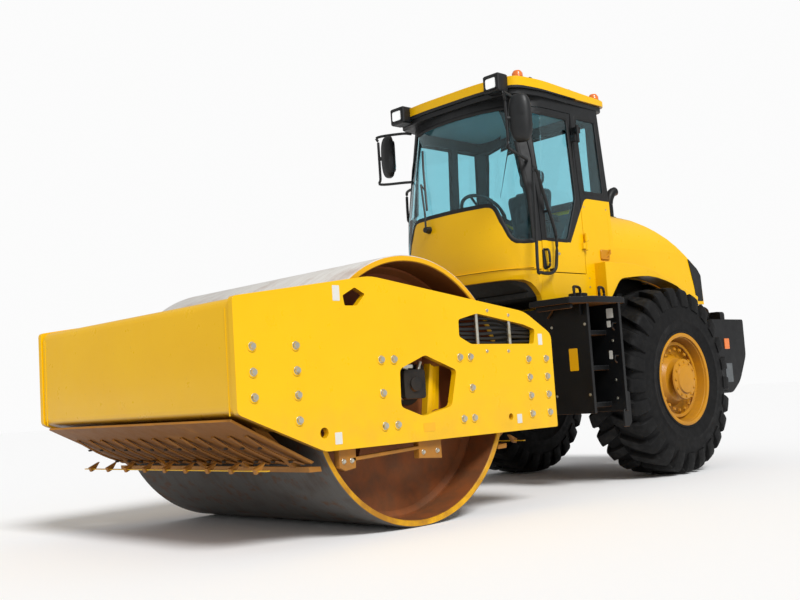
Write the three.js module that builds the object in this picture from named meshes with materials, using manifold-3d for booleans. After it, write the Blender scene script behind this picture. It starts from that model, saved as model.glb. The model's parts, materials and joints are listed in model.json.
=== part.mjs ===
// Single drum soil roller: a vibrating smooth drum in a yellow yoke at the front, a centre pivot that
// steers and twists, and a rear tractor with cab, hood, counterweight and two lugged tyres.
// Millimetres, +Z up, ground at z = 0. The machine faces -Y and its left side is at +X.
// Lengths along the machine are written from the drum's axle; the whole model is then shifted so
// that the origin lies at the middle of its footprint, which is also the centre pivot.
import * as THREE from 'three';
import { mergeVertices } from 'three/addons/utils/BufferGeometryUtils.js';
import Module from 'manifold-3d';

const wasm = await Module();
wasm.setup();

// ---- driving dimensions -------------------------------------------------------------------------
const GAP = 0.3;                  // left between pieces that touch
const DRUM_R = 820;
const DRUM_WALL = 36;
const DRUM_HALF = 1065;           // half of the drum's width
const PLATE_T = 40;               // side plates of the yoke
const PLATE_IN = DRUM_HALF + 32;
const PLATE_OUT = PLATE_IN + PLATE_T;
const BEAM_BACK_Y = -DRUM_R - 165; // rear face of the front crossbeam
const FRONT_Y = BEAM_BACK_Y - 370; // front face of the yoke
const REAR_BEAM_Y0 = DRUM_R + 140;
const REAR_BEAM_Y1 = REAR_BEAM_Y0 + 240;
const YOKE_REAR_Y = REAR_BEAM_Y1 + 70;
const PIVOT_Y = YOKE_REAR_Y + 330; // steering pivot, and the model's origin
const OSC_Z = 830;                // height of the axis about which the front frame twists
const WHEELBASE = PIVOT_Y + 1550;
const TYRE_R = 770;
const TYRE_IN = 510;
const TYRE_OUT = 1040;
const CW_FRONT_Y = WHEELBASE + 820;
const TAIL_Y = CW_FRONT_Y + 585;  // rear face of the counterweight
const CAB_HALF = 710;             // half of the cab's width at its waist
const CAB_FRONT_Y = PIVOT_Y - 90;
const CAB_BACK_Y = WHEELBASE - 400;
const FLOOR_Z = 1430;             // underside of the cab and top of the decks
const EAVES_Z = 3050;             // underside of the roof
const DOOR_FRONT_Y = CAB_FRONT_Y + 310;
const DOOR_BACK_Y = DOOR_FRONT_Y + 525;
const HOOD_HALF = 640;
const HOOD_FRONT_Y = CAB_BACK_Y + 30;
const HOOD_TAIL_Y = WHEELBASE + 1100;
const HOOD_TOP = 2235;
const DECK_OUT = 1040;
const CHASSIS_HALF = 360;
const FENDER_Y0 = WHEELBASE - 680;
const FENDER_OUT = 810;
const SMALL = 12;                 // facets of small round parts
const PIN_FACETS = 48;            // pins and bores that turn in one another
const ROUND = 32;                 // facets of large round parts

// ---- finishes -----------------------------------------------------------------------------------
const finish = (color, roughness, metalness) => ({ color, roughness, metalness });
const YELLOW = finish(0xf2be0a, 0.38, 0.0);
const AMBER_YELLOW = finish(0xd9a207, 0.5, 0.0);
const BLACK = finish(0x1f2225, 0.55, 0.1);
const STEEL = finish(0xb9b4ac, 0.35, 0.9);
const CHROME = finish(0xd5d7d8, 0.15, 1.0);
const RUBBER = finish(0x2b2b2b, 0.9, 0.0);
const GLASS = finish(0x5fa7b8, 0.08, 0.0);
const CLOTH = finish(0x2f3338, 0.85, 0.0);
const CAST = finish(0x2a2c2e, 0.65, 0.4);

// ---- solids -------------------------------------------------------------------------------------
function solid(geometry) {
  const bare = geometry.index ? geometry.toNonIndexed() : geometry.clone();
  bare.deleteAttribute('normal');
  bare.deleteAttribute('uv');
  const merged = mergeVertices(bare, 1e-3);
  return new wasm.Manifold(new wasm.Mesh({
    numProp: 3,
    vertProperties: new Float32Array(merged.attributes.position.array),
    triVerts: new Uint32Array(merged.index.array),
  }));
}

function geometryOf(manifold) {
  const mesh = manifold.getMesh();
  const geometry = new THREE.BufferGeometry();
  geometry.setAttribute('position', new THREE.BufferAttribute(mesh.vertProperties, 3));
  geometry.setIndex(new THREE.BufferAttribute(mesh.triVerts, 1));
  return geometry;
}

const join = (first, ...others) => others.reduce((sum, next) => sum.add(next), first);
const cut = (first, ...others) => others.reduce((rest, next) => rest.subtract(next), first);

function block(x0, x1, y0, y1, z0, z1) {
  const box = new THREE.BoxGeometry(x1 - x0, y1 - y0, z1 - z0);
  return solid(box.translate((x0 + x1) / 2, (y0 + y1) / 2, (z0 + z1) / 2));
}

// Closed outline from [a, b, radius] corners, each rounded over less than half of its edges.
function outline(corners) {
  const points = corners.map(([a, b]) => new THREE.Vector2(a, b));
  const shape = new THREE.Shape();
  corners.forEach(([, , radius = 0], i) => {
    const here = points[i];
    const before = points.at(i - 1);
    const after = points[(i + 1) % points.length];
    const toward = (other) => here.clone().lerp(other, Math.min(radius / here.distanceTo(other), 0.48));
    const start = toward(before);
    const end = toward(after);
    if (i === 0) shape.moveTo(start.x, start.y);
    else shape.lineTo(start.x, start.y);
    if (radius > 0) shape.quadraticCurveTo(here.x, here.y, end.x, end.y);
  });
  shape.closePath();
  return shape;
}

const rectangle = (a0, a1, b0, b1, radius = 0) => outline([
  [a0, b0, radius], [a1, b0, radius], [a1, b1, radius], [a0, b1, radius]]);

function extrude(shape, depth, curveSegments = 3) {
  return new THREE.ExtrudeGeometry(shape, { depth, bevelEnabled: false, curveSegments });
}

// Shapes drawn in (y, z) and given thickness along x; in (x, z) and along y; in (x, y) and along z.
function slabX(shape, x0, x1, segments) {
  const turn = new THREE.Matrix4().makeBasis(
    new THREE.Vector3(0, 1, 0), new THREE.Vector3(0, 0, 1), new THREE.Vector3(1, 0, 0));
  return solid(extrude(shape, x1 - x0, segments).applyMatrix4(turn).translate(x0, 0, 0));
}
const slabY = (shape, y0, y1, segments) => solid(
  extrude(shape, y1 - y0, segments).rotateX(Math.PI / 2).translate(0, y1, 0));
const slabZ = (shape, z0, z1, segments) => solid(extrude(shape, z1 - z0, segments).translate(0, 0, z0));

// Round bar between two points.
function rod(from, to, radius, facets = SMALL) {
  const a = new THREE.Vector3(...from);
  const b = new THREE.Vector3(...to);
  const bar = new THREE.CylinderGeometry(radius, radius, a.distanceTo(b), facets);
  const turn = new THREE.Quaternion().setFromUnitVectors(
    new THREE.Vector3(0, 1, 0), b.clone().sub(a).normalize());
  return solid(bar.applyQuaternion(turn).translate(...a.add(b).multiplyScalar(0.5).toArray()));
}

// Bent round tube through points; corners are rounded by the curve itself.
function bentTube(points, radius, steps = 16, facets = 3) {
  const path = new THREE.CatmullRomCurve3(points.map((p) => new THREE.Vector3(...p)), false, 'chordal');
  const section = new THREE.Shape().absarc(0, 0, radius, 0, 2 * Math.PI);
  const options = { steps, bevelEnabled: false, extrudePath: path, curveSegments: facets };
  return solid(new THREE.ExtrudeGeometry(section, options));
}

// Body turned about the x axis from a closed [axial, radius] profile; centre at (y, z).
function turnedX(profile, y, z, facets = ROUND) {
  const points = profile.map(([axial, radius]) => new THREE.Vector2(radius, axial));
  const lathe = new THREE.LatheGeometry([...points, points[0]], facets);
  const turned = solid(lathe.rotateZ(-Math.PI / 2).translate(0, y, z));
  return turned.volume() < 0 ? solid(flipped(lathe)) : turned;
}

function flipped(geometry) {
  const index = geometry.index.array;
  for (let i = 0; i < index.length; i += 3) [index[i], index[i + 1]] = [index[i + 1], index[i]];
  return geometry;
}

const mirrored = (shape) => shape.mirror([1, 0, 0]);

// ---- model assembly -----------------------------------------------------------------------------
const model = new THREE.Group();
model.position.y = -PIVOT_Y;

function add(name, shape, look) {
  const mesh = new THREE.Mesh(geometryOf(shape), new THREE.MeshStandardMaterial(look));
  mesh.name = name;
  model.add(mesh);
}

function addPair(name, shape, look) {
  add(`${name}_left`, shape, look);
  add(`${name}_right`, mirrored(shape), look);
}

// ---- yoke around the drum -----------------------------------------------------------------------
const BEAM_TOP = 1353;
const BEAM_BOTTOM = 743;
const PLATE_FOOT = 507;
const HUMP_Y = -385;
const HUMP_Z = 1489;

function sidePlate() {
  const plate = outline([
    [FRONT_Y, BEAM_BOTTOM, 25], [FRONT_Y, BEAM_TOP, 25], [HUMP_Y, HUMP_Z, 60], [1000, 1294, 60],
    [YOKE_REAR_Y, 1143, 40], [YOKE_REAR_Y, PLATE_FOOT, 15], [-788, PLATE_FOOT, 30]]);
  const motorWindow = outline([
    [27, 1020, 20], [296, 921, 25], [233, 701, 25], [-20, 655, 25], [-198, 719, 25], [-190, 941, 25]]);
  const hoseWindow = outline([
    [345, 1237, 15], [521, 1277, 25], [979, 1207, 20], [1098, 1173, 20], [1077, 1076, 15],
    [450, 1081, 20], [342, 1130, 15]]);
  const liftHole = outline([[-602, 1370, 8], [-509, 1418, 8], [-432, 1380, 8], [-498, 1314, 8], [-591, 1312, 8]]);
  const tieHole = (y, z, radius) => rod([PLATE_IN - 5, y, z], [PLATE_OUT + 5, y, z], radius);
  return cut(
    slabX(plate, PLATE_IN, PLATE_OUT),
    slabX(motorWindow, PLATE_IN - 5, PLATE_OUT + 5),
    slabX(hoseWindow, PLATE_IN - 5, PLATE_OUT + 5),
    slabX(liftHole, PLATE_IN - 5, PLATE_OUT + 5),
    tieHole(-791, 609, 30),
    tieHole(786, 602, 22));
}
addPair('side_plate', sidePlate(), YELLOW);

function frontCrossbeam() {
  const profile = outline([
    [FRONT_Y + 8, BEAM_BOTTOM + 4, 40], [FRONT_Y + 8, BEAM_TOP - 8, 45], [BEAM_BACK_Y, 1392, 30],
    [BEAM_BACK_Y, 640, 10], [BEAM_BACK_Y - 25, 632, 10]]);
  return slabX(profile, -PLATE_IN + GAP, PLATE_IN - GAP);
}
add('front_crossbeam', frontCrossbeam(), YELLOW);

const SOCKET_R = 62;
function rearCrossbeam() {
  const beam = slabX(rectangle(REAR_BEAM_Y0, REAR_BEAM_Y1, 560, 1060, 25), -PLATE_IN + GAP, PLATE_IN - GAP);
  const pad = rod([0, REAR_BEAM_Y1 - 1, OSC_Z], [0, REAR_BEAM_Y1 + 40, OSC_Z], 210, ROUND);
  const socket = rod([0, REAR_BEAM_Y1 - 150, OSC_Z], [0, REAR_BEAM_Y1 + 60, OSC_Z], SOCKET_R, PIN_FACETS);
  return cut(join(beam, pad), socket);
}
add('rear_crossbeam', rearCrossbeam(), YELLOW);

// Scraper bars lie across the drum, just off its face, hung from the beams by arms.
const SCRAPER_Z = 424;
const SCRAPER_GAP = 30;
const SCRAPER_Y = Math.sqrt((DRUM_R + SCRAPER_GAP) ** 2 - (DRUM_R - SCRAPER_Z) ** 2);
const SCRAPER_HALF = DRUM_HALF - 25;
function scraper(sign, beamBottom, beamY) {
  const bar = slabX(outline([
    [sign * SCRAPER_Y, SCRAPER_Z], [sign * (SCRAPER_Y - 6), SCRAPER_Z - 28],
    [sign * (SCRAPER_Y + 80), SCRAPER_Z - 26], [sign * (SCRAPER_Y + 84), SCRAPER_Z + 6]]),
  -SCRAPER_HALF, SCRAPER_HALF);
  const arms = [-900, -450, 0, 450, 900].map((x) => slabX(outline([
    [sign * (SCRAPER_Y + 26), SCRAPER_Z - 10], [sign * (SCRAPER_Y + 76), SCRAPER_Z - 10],
    [sign * (beamY + 45), beamBottom - GAP], [sign * (beamY - 25), beamBottom - GAP]]), x - 22, x + 22));
  return join(bar, ...arms);
}
add('front_scraper', scraper(-1, 668, 90 - BEAM_BACK_Y).subtract(frontCrossbeam().translate([0, 0, -GAP])),
  AMBER_YELLOW);
add('rear_scraper', scraper(1, 560, REAR_BEAM_Y0 + 50), AMBER_YELLOW);

// ---- drum ---------------------------------------------------------------------------------------
const HEAD_X0 = DRUM_HALF - 295;
const HEAD_X1 = HEAD_X0 + 36;
const HUB_R = 175;
const SPINDLE_R = 84;
add('drum_shell', turnedX([
  [-DRUM_HALF, DRUM_R - DRUM_WALL], [-DRUM_HALF, DRUM_R], [DRUM_HALF, DRUM_R], [DRUM_HALF, DRUM_R - DRUM_WALL],
], 0, DRUM_R, 48), STEEL);
function drumHead() {
  const edge = DRUM_R - DRUM_WALL - GAP;
  const disc = turnedX([
    [HEAD_X0, SPINDLE_R + 0.8], [HEAD_X0, edge], [HEAD_X1, edge], [HEAD_X1, HUB_R], [HEAD_X1 + 60, HUB_R - 10],
    [HEAD_X1 + 60, SPINDLE_R + 0.8]], 0, DRUM_R, 48);
  const ports = [0, 1, 2, 3].map((i) => {
    const angle = Math.PI / 4 + i * Math.PI / 2;
    const y = 480 * Math.cos(angle);
    const z = DRUM_R + 480 * Math.sin(angle);
    return rod([HEAD_X0 - 5, y, z], [HEAD_X1 + 5, y, z], 90);
  });
  return cut(disc, ...ports);
}
addPair('drum_head', drumHead(), AMBER_YELLOW);

// Each side of the drum turns on a spindle whose plate hangs on rubber buffers bolted to the yoke.
const MOUNT_X0 = DRUM_HALF - 120;
const MOUNT_X1 = MOUNT_X0 + 30;
function drumMount() {
  const plate = slabX(rectangle(-300, 300, DRUM_R - 270, DRUM_R + 270, 70), MOUNT_X0, MOUNT_X1);
  const spindle = rod([HEAD_X0 + 20, 0, DRUM_R], [MOUNT_X0 + 5, 0, DRUM_R], SPINDLE_R, PIN_FACETS);
  const buffers = [-215, 215].flatMap((y) => [-190, 190].map((z) => rod(
    [MOUNT_X1 - 5, y, DRUM_R + z], [PLATE_IN - GAP, y, DRUM_R + z], 58)));
  return join(plate, spindle, ...buffers);
}
addPair('drum_mount', drumMount(), AMBER_YELLOW);

function hubMotor() {
  const body = slabX(rectangle(-95, 85, DRUM_R - 60, DRUM_R + 120, 22), MOUNT_X1 + GAP, MOUNT_X1 + 95);
  const nose = rod([MOUNT_X1 + 90, -10, DRUM_R + 30], [MOUNT_X1 + 112, -10, DRUM_R + 30], 45);
  return join(body, nose);
}
add('hub_motor', hubMotor(), CAST);

// ---- centre pivot -------------------------------------------------------------------------------
const FORK_TOP = [1040, 1085];
const FORK_BOTTOM = [575, 620];
const LINK_Z = [635, 1025];
const PIN_R = 40;
const EYE_X = 300;                // steering rods pull this far out from the pivot
const EAR_LOW = [704, 744];
const EAR_HIGH = [836, 876];
function hingeLink() {
  const core = slabZ(outline([
    [-150, PIVOT_Y - 90, 30], [150, PIVOT_Y - 90, 30], [105, PIVOT_Y + 105, 60],
    [-105, PIVOT_Y + 105, 60]]), ...LINK_Z);
  const neck = rod([0, REAR_BEAM_Y1 + 50, OSC_Z], [0, PIVOT_Y - 80, OSC_Z], 165, ROUND);
  const stub = rod([0, REAR_BEAM_Y1 - 90, OSC_Z], [0, REAR_BEAM_Y1 + 60, OSC_Z], SOCKET_R - 0.7, PIN_FACETS);
  const wing = outline([
    [-EYE_X - 75, PIVOT_Y - 60, 50], [EYE_X + 75, PIVOT_Y - 60, 50],
    [EYE_X + 75, PIVOT_Y + 60, 50], [-EYE_X - 75, PIVOT_Y + 60, 50]]);
  const bore = rod([0, PIVOT_Y, 600], [0, PIVOT_Y, 1060], PIN_R + 0.7, PIN_FACETS);
  return cut(join(core, neck, stub, slabZ(wing, ...EAR_LOW), slabZ(wing, ...EAR_HIGH)), bore);
}
add('hinge_link', hingeLink(), CAST);

// The counterweight's front face leans back toward its foot, and the chassis ends flat against it.
const CW_TOP_Z = 1285;
const cwFront = (z) => CW_FRONT_Y + (CW_TOP_Z - z) * 0.135;

// ---- rear chassis -------------------------------------------------------------------------------
const CHASSIS_FRONT_Y = PIVOT_Y + 330;
const NOSE_END_Y = CHASSIS_FRONT_Y + 600;
const AXLE_BED_Z = 985;           // underside of the chassis over the axle
function rearChassis() {
  const spine = slabX(outline([
    [NOSE_END_Y - 10, 600, 30], [WHEELBASE - 390, 620, 60], [WHEELBASE - 320, AXLE_BED_Z, 40],
    [WHEELBASE + 410, AXLE_BED_Z, 60], [WHEELBASE + 530, 860, 40], [cwFront(860) - GAP, 860],
    [cwFront(1270) - GAP, 1270], [WHEELBASE + 550, 1320, 40], [NOSE_END_Y - 10, 1320, 20]]),
  -CHASSIS_HALF, CHASSIS_HALF);
  const nose = block(-190, 190, CHASSIS_FRONT_Y, NOSE_END_Y, 575, 1085);
  const prong = outline([
    [-190, CHASSIS_FRONT_Y + 20], [-110, PIVOT_Y - 95, 60], [110, PIVOT_Y - 95, 60], [190, CHASSIS_FRONT_Y + 20]]);
  const pin = rod([0, PIVOT_Y, FORK_BOTTOM[0] + 5], [0, PIVOT_Y, FORK_TOP[1] + 15], PIN_R, PIN_FACETS);
  const cylinderEars = [EAR_LOW, EAR_HIGH].flatMap((level) => [-1, 1].map((side) => slabZ(rectangle(
    Math.min(side * 225, side * 335), Math.max(side * 225, side * 335), NOSE_END_Y - 140, NOSE_END_Y, 30), ...level)));
  const cabBeams = [CHASSIS_FRONT_Y + 60, CHASSIS_FRONT_Y + 290].map((y) => block(
    -570 + GAP, 570 - GAP, y, y + 70, 1250, FLOOR_Z - 45));
  const post = block(-150, 150, CHASSIS_FRONT_Y + 60, NOSE_END_Y, 1080, 1290);
  return join(spine, nose, slabZ(prong, ...FORK_TOP), slabZ(prong, ...FORK_BOTTOM), pin, ...cylinderEars,
    ...cabBeams, post);
}
add('rear_chassis', rearChassis(), BLACK);

// Steering cylinders run beside the chassis nose from its ears to the wings of the hinge link.
const ANCHOR = [280, NOSE_END_Y - 90, 790];
const EYE = [EYE_X, PIVOT_Y, 790];
const BARREL_BORE = 24;
const barrelAxis = new THREE.Vector3(...EYE).sub(new THREE.Vector3(...ANCHOR)).normalize();
const alongBarrel = (distance) => new THREE.Vector3(...ANCHOR).addScaledVector(barrelAxis, distance).toArray();
function barrel() {
  const tube = rod(alongBarrel(30), alongBarrel(530), 41);
  const eye = rod([ANCHOR[0], ANCHOR[1], EAR_LOW[1] + GAP], [ANCHOR[0], ANCHOR[1], EAR_HIGH[0] - GAP], 34);
  return cut(join(tube, eye), rod(alongBarrel(55), alongBarrel(540), BARREL_BORE));
}
function steerRod() {
  const reach = new THREE.Vector3(...EYE).distanceTo(new THREE.Vector3(...ANCHOR));
  const bar = rod(alongBarrel(reach - 600), alongBarrel(reach - 10), BARREL_BORE - 0.5);
  const eye = rod([EYE[0], EYE[1], EAR_LOW[1] + 8], [EYE[0], EYE[1], EAR_HIGH[0] - 8], 38);
  return join(bar, eye);
}
addPair('steer_barrel', barrel(), BLACK);
addPair('steer_rod', steerRod(), CHROME);

// ---- axle and wheels ----------------------------------------------------------------------------
const AXLE_END = TYRE_IN + 150;
function rearAxle() {
  const tube = turnedX([
    [-AXLE_END, 0], [-AXLE_END, 70], [-440, 80], [-400, 125], [-210, 140], [-130, 195], [130, 195], [210, 140],
    [400, 125], [440, 80], [AXLE_END, 70], [AXLE_END, 0]], WHEELBASE, TYRE_R, 16);
  const pads = [-1, 1].map((side) => block(
    side * 290 - 50, side * 290 + 50, WHEELBASE - 90, WHEELBASE + 90, TYRE_R, AXLE_BED_Z - GAP));
  return join(tube, ...pads);
}
add('rear_axle', rearAxle(), BLACK);

const RIM_R = 365;
const tyreProfile = [
  [TYRE_IN + 25, RIM_R + GAP], [TYRE_IN, TYRE_R - 240], [TYRE_IN + 22, TYRE_R - 110], [TYRE_IN + 80, TYRE_R - 22],
  [(TYRE_IN + TYRE_OUT) / 2, TYRE_R], [TYRE_OUT - 80, TYRE_R - 22], [TYRE_OUT - 22, TYRE_R - 110],
  [TYRE_OUT, TYRE_R - 240], [TYRE_OUT - 25, RIM_R + GAP]];
addPair('tyre', turnedX(tyreProfile, WHEELBASE, TYRE_R), RUBBER);
const DISC_X = TYRE_OUT - 145;      // outer face of the wheel disc
const rimProfile = [
  [AXLE_END + GAP, 0], [AXLE_END + GAP, 150], [DISC_X - 35, 225], [DISC_X - 35, RIM_R - 27],
  [TYRE_IN + 30, RIM_R - 23], [TYRE_IN + 26, RIM_R], [TYRE_OUT - 26, RIM_R], [TYRE_OUT - 32, RIM_R - 23],
  [DISC_X, RIM_R - 45], [DISC_X, 215], [DISC_X + 60, 175], [DISC_X + 70, 0]];
addPair('rim', turnedX(rimProfile, WHEELBASE, TYRE_R), AMBER_YELLOW);

// ---- steps, tanks and decks ---------------------------------------------------------------------
const STEP_Y0 = CHASSIS_FRONT_Y + 30;
const STEP_Y1 = STEP_Y0 + 340;
const STEP_FOOT = 560;
const DECK_Z = [FLOOR_Z - 45, FLOOR_Z - GAP];
function stepBox() {
  const top = DECK_Z[0] + 5;
  const tank = slabZ(rectangle(375, 580, STEP_Y0 + 20, STEP_Y1 - 5, 15), 640, 1249);
  const deck = slabZ(outline([
    [570, STEP_Y0 - 200, 10], [DECK_OUT - 90, STEP_Y0 - 200, 20], [DECK_OUT, STEP_Y0, 30],
    [DECK_OUT, STEP_Y1 + 60, 30], [FENDER_OUT, FENDER_Y0 + 30, 10], [570, FENDER_Y0 + 30, 10],
    [570, STEP_Y0 + 40]]),
  ...DECK_Z);
  const frontCheek = block(570, 960, STEP_Y0, STEP_Y0 + 30, STEP_FOOT, top);
  const rearCheek = block(570, 1030, STEP_Y1 - 30, STEP_Y1, STEP_FOOT, top);
  const back = block(570, 600, STEP_Y0, STEP_Y1, STEP_FOOT, top);
  const treads = [600, 880, 1150].map((z) => block(590, 900, STEP_Y0 + 10, STEP_Y1 - 10, z, z + 30));
  return join(frontCheek, rearCheek, back, tank, deck, ...treads);
}
addPair('step_box', stepBox(), BLACK);

// ---- wheel arches -------------------------------------------------------------------------------
const FENDER_TOP = 1745;
const WELL_IN = 495;              // inner side of the wheel arch
const archLine = [
  [FENDER_Y0 + 30, FLOOR_Z], [WHEELBASE - 480, 1615, 60], [WHEELBASE, 1660, 200],
  [WHEELBASE + 410, 1570, 120], [WHEELBASE + 650, 1395]];
const archVoid = slabX(outline([[FENDER_Y0 + 30, 1000], ...archLine, [WHEELBASE + 650, 1000]]), WELL_IN, 1200);
const fenderRoom = join(
  block(HOOD_HALF, FENDER_OUT + 50, FENDER_Y0 - GAP, WHEELBASE - 290, 1300, FENDER_TOP + GAP), archVoid);

// ---- cab ----------------------------------------------------------------------------------------
// The cab is one tapered shell with a bowed front; its panels, frame and panes are cut out of it.
const cabLevels = [
  { z: FLOOR_Z, front: CAB_FRONT_Y + 110, half: CAB_HALF - 15, back: CAB_BACK_Y },
  { z: FLOOR_Z + 210, front: CAB_FRONT_Y + 25, half: CAB_HALF - 2, back: CAB_BACK_Y },
  { z: 1900, front: CAB_FRONT_Y, half: CAB_HALF, back: CAB_BACK_Y },
  { z: 2250, front: CAB_FRONT_Y + 25, half: CAB_HALF - 5, back: CAB_BACK_Y },
  { z: EAVES_Z, front: CAB_FRONT_Y + 150, half: CAB_HALF - 45, back: CAB_BACK_Y - 20 }];
const BOW_STEPS = 6;
const CORNER_BACK = 330;          // how far behind the foremost point the straight sides begin

function cabPlan({ front, half, back }, inset) {
  const points = [];
  const w = half - inset;
  const bow = new THREE.CubicBezierCurve(
    new THREE.Vector2(w, front + CORNER_BACK), new THREE.Vector2(w - 25, front + 120 + inset * 0.6),
    new THREE.Vector2(w * 0.55, front + inset), new THREE.Vector2(0, front + inset));
  points.push([w, back - inset]);
  bow.getPoints(BOW_STEPS).forEach((p) => points.push([p.x, p.y]));
  for (let i = points.length - 2; i >= 0; i -= 1) points.push([-points[i][0], points[i][1]]);
  return points;
}

// Solid through stacked plan outlines that all have the same number of points. The facets of its
// left and right halves mirror one another.
function stacked(levels, inset, bottom, top) {
  const rings = levels.map((level, i) => cabPlan(level, inset).map(([x, y]) => {
    if (i === 0) return [x, y, bottom];
    return [x, y, i === levels.length - 1 ? top : level.z];
  }));
  const count = rings[0].length;
  const positions = rings.flat(2);
  const index = [];
  for (let r = 0; r < rings.length - 1; r += 1) {
    for (let i = 0; i < count; i += 1) {
      const a = r * count + i;
      const b = r * count + ((i + 1) % count);
      if (i < count / 2 - 1) index.push(a, a + count, b, b, a + count, b + count);
      else index.push(a, a + count, b + count, a, b + count, b);
    }
  }
  const plan = rings[0].map(([x, y]) => new THREE.Vector2(x, y));
  const last = (rings.length - 1) * count;
  THREE.ShapeUtils.triangulateShape(plan, []).forEach(([a, b, c]) => {
    index.push(a, c, b);
    index.push(last + a, last + b, last + c);
  });
  const geometry = new THREE.BufferGeometry();
  geometry.setAttribute('position', new THREE.Float32BufferAttribute(positions, 3));
  geometry.setIndex(index);
  const body = solid(geometry);
  return body.volume() > 0 ? body : solid(flipped(geometry));
}

const cabSkin = (depth, wall) => cut(
  stacked(cabLevels, depth, FLOOR_Z, EAVES_Z),
  stacked(cabLevels, depth + wall, FLOOR_Z - 10, EAVES_Z + 10));

// Edge between yellow lower body and windows, drawn from the side and from the front.
const SILL_Z = 1890;
const BELT_Z = 2270;
const NOSE_TOP_Z = 2200;
const far = 900;
const NOSE_BACK_Y = DOOR_FRONT_Y - 20;
const sideLower = (lift = 0) => slabX(outline([
  [NOSE_BACK_Y, 1300], [CAB_BACK_Y + 50, 1300], [CAB_BACK_Y + 50, BELT_Z + lift],
  [DOOR_BACK_Y + 65, BELT_Z + lift, 40], [DOOR_BACK_Y - 175, SILL_Z + lift, 50],
  [NOSE_BACK_Y, SILL_Z + lift]]), -far, far);
const frontLower = (lift = 0) => slabY(outline([
  [-far, 1300], [far, 1300], [far, SILL_Z + lift], [CAB_HALF - 150, SILL_Z + lift, 60],
  [CAB_HALF - 285, NOSE_TOP_Z + lift, 60], [285 - CAB_HALF, NOSE_TOP_Z + lift, 60],
  [150 - CAB_HALF, SILL_Z + lift, 60], [-far, SILL_Z + lift]]), 1300, NOSE_BACK_Y);
const lowerRegion = (lift) => join(sideLower(lift), frontLower(lift));

// The underside of the lower body rises toward the front in an arch.
const ARCH_TOP_Z = FLOOR_Z + 180;
const underArch = slabX(outline([
  [1300, 1300], [DOOR_FRONT_Y + 20, 1300], [DOOR_FRONT_Y + 10, FLOOR_Z + 30, 40],
  [DOOR_FRONT_Y - 90, ARCH_TOP_Z, 90], [1300, ARCH_TOP_Z]]), -far, far);

const lowerSkin = cut(
  cabSkin(0, 40).intersect(lowerRegion(0)), underArch, fenderRoom, mirrored(fenderRoom));
const doorway = (grow) => block(
  400, far, DOOR_FRONT_Y - grow, DOOR_BACK_Y + grow, 1655 - grow, 2965 + grow);
const SEAM = DOOR_FRONT_Y - 6;    // joint between nose and side panels
const noseShape = lowerSkin.intersect(block(-far, far, 1300, SEAM, 1300, 2400));
const sideWall = lowerSkin.intersect(block(0, far, SEAM + GAP, CAB_BACK_Y - 45, 1300, 2400));
add('cab_nose', noseShape, YELLOW);
add('cab_side_right', mirrored(sideWall), YELLOW);
add('cab_back', lowerSkin.intersect(block(-far, far, CAB_BACK_Y - 45 + GAP, CAB_BACK_Y + 50, 1300, 2400)), YELLOW);

// Window openings in the frame: a pane sits in each.
const sideOpening = (y0, y1, grow, sillLift) => slabX(outline([
  [y0 - grow, sillLift - grow, 25], [y1 + grow, sillLift - grow, 25], [y1 + grow, 2955 + grow, 25],
  [y0 - grow, 2955 + grow, 25]]), 300, far);
const screenZone = (grow) => block(-far, far, 1300, DOOR_FRONT_Y - 60 + grow, 1800, 2975 + grow);
const rearWindowY = [DOOR_BACK_Y + 60, CAB_BACK_Y - 55];
const rearOpening = (grow) => sideOpening(...rearWindowY, grow, BELT_Z + 45);
const backOpening = (grow) => slabY(rectangle(
  150 - CAB_HALF - grow, CAB_HALF - 150 + grow, BELT_Z + 50 - grow, 2950 + grow, 40),
CAB_BACK_Y - 150, CAB_BACK_Y + 150);
const rightFrontOpening = (grow) => slabX(outline([
  [DOOR_FRONT_Y + 30 - grow, SILL_Z + 40 - grow, 25], [DOOR_BACK_Y - 215 + grow, SILL_Z + 40 - grow, 25],
  [DOOR_BACK_Y - 10 + grow, BELT_Z + 25, 40], [DOOR_BACK_Y - 10 + grow, 2955 + grow, 25],
  [DOOR_FRONT_Y + 30 - grow, 2955 + grow, 25]]), 300, far);

const upperSkin = cabSkin(0, 45).subtract(lowerRegion(GAP));
const frameShape = cut(
  upperSkin, screenZone(0), doorway(6), rearOpening(0), mirrored(rearOpening(0)), backOpening(0),
  mirrored(rightFrontOpening(0)));

const paneSkin = cabSkin(8, 8).subtract(lowerRegion(GAP));
const pane = (zone) => paneSkin.intersect(zone);
add('windscreen', pane(screenZone(-GAP)), GLASS);
add('rear_quarter_glass_left', pane(rearOpening(-GAP)), GLASS);
add('rear_quarter_glass_right', pane(mirrored(rearOpening(-GAP))), GLASS);
add('side_glass_right', pane(mirrored(rightFrontOpening(-GAP))), GLASS);
add('back_glass', pane(backOpening(-GAP)), GLASS);

// Hinge knuckles: the door's turn under the cab's own, on one upright axis behind the door's edge.
const HINGE_X = CAB_HALF + 22;
const HINGE_Y = DOOR_BACK_Y + 3;
const hingeHeights = [1910, 2790];
function doorKnuckles(lift, toward) {
  return hingeHeights.map((z) => {
    const z0 = lift > 0 ? z + GAP : z - 70;
    const z1 = z0 + 70 - (lift > 0 ? GAP : 0);
    const y0 = toward > 0 ? HINGE_Y : HINGE_Y - 40;
    return join(
      rod([HINGE_X, HINGE_Y, z0], [HINGE_X, HINGE_Y, z1], 13),
      block(CAB_HALF - 60, HINGE_X, y0, y0 + 40, z0 + 10, z1 - 10));
  });
}

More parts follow.
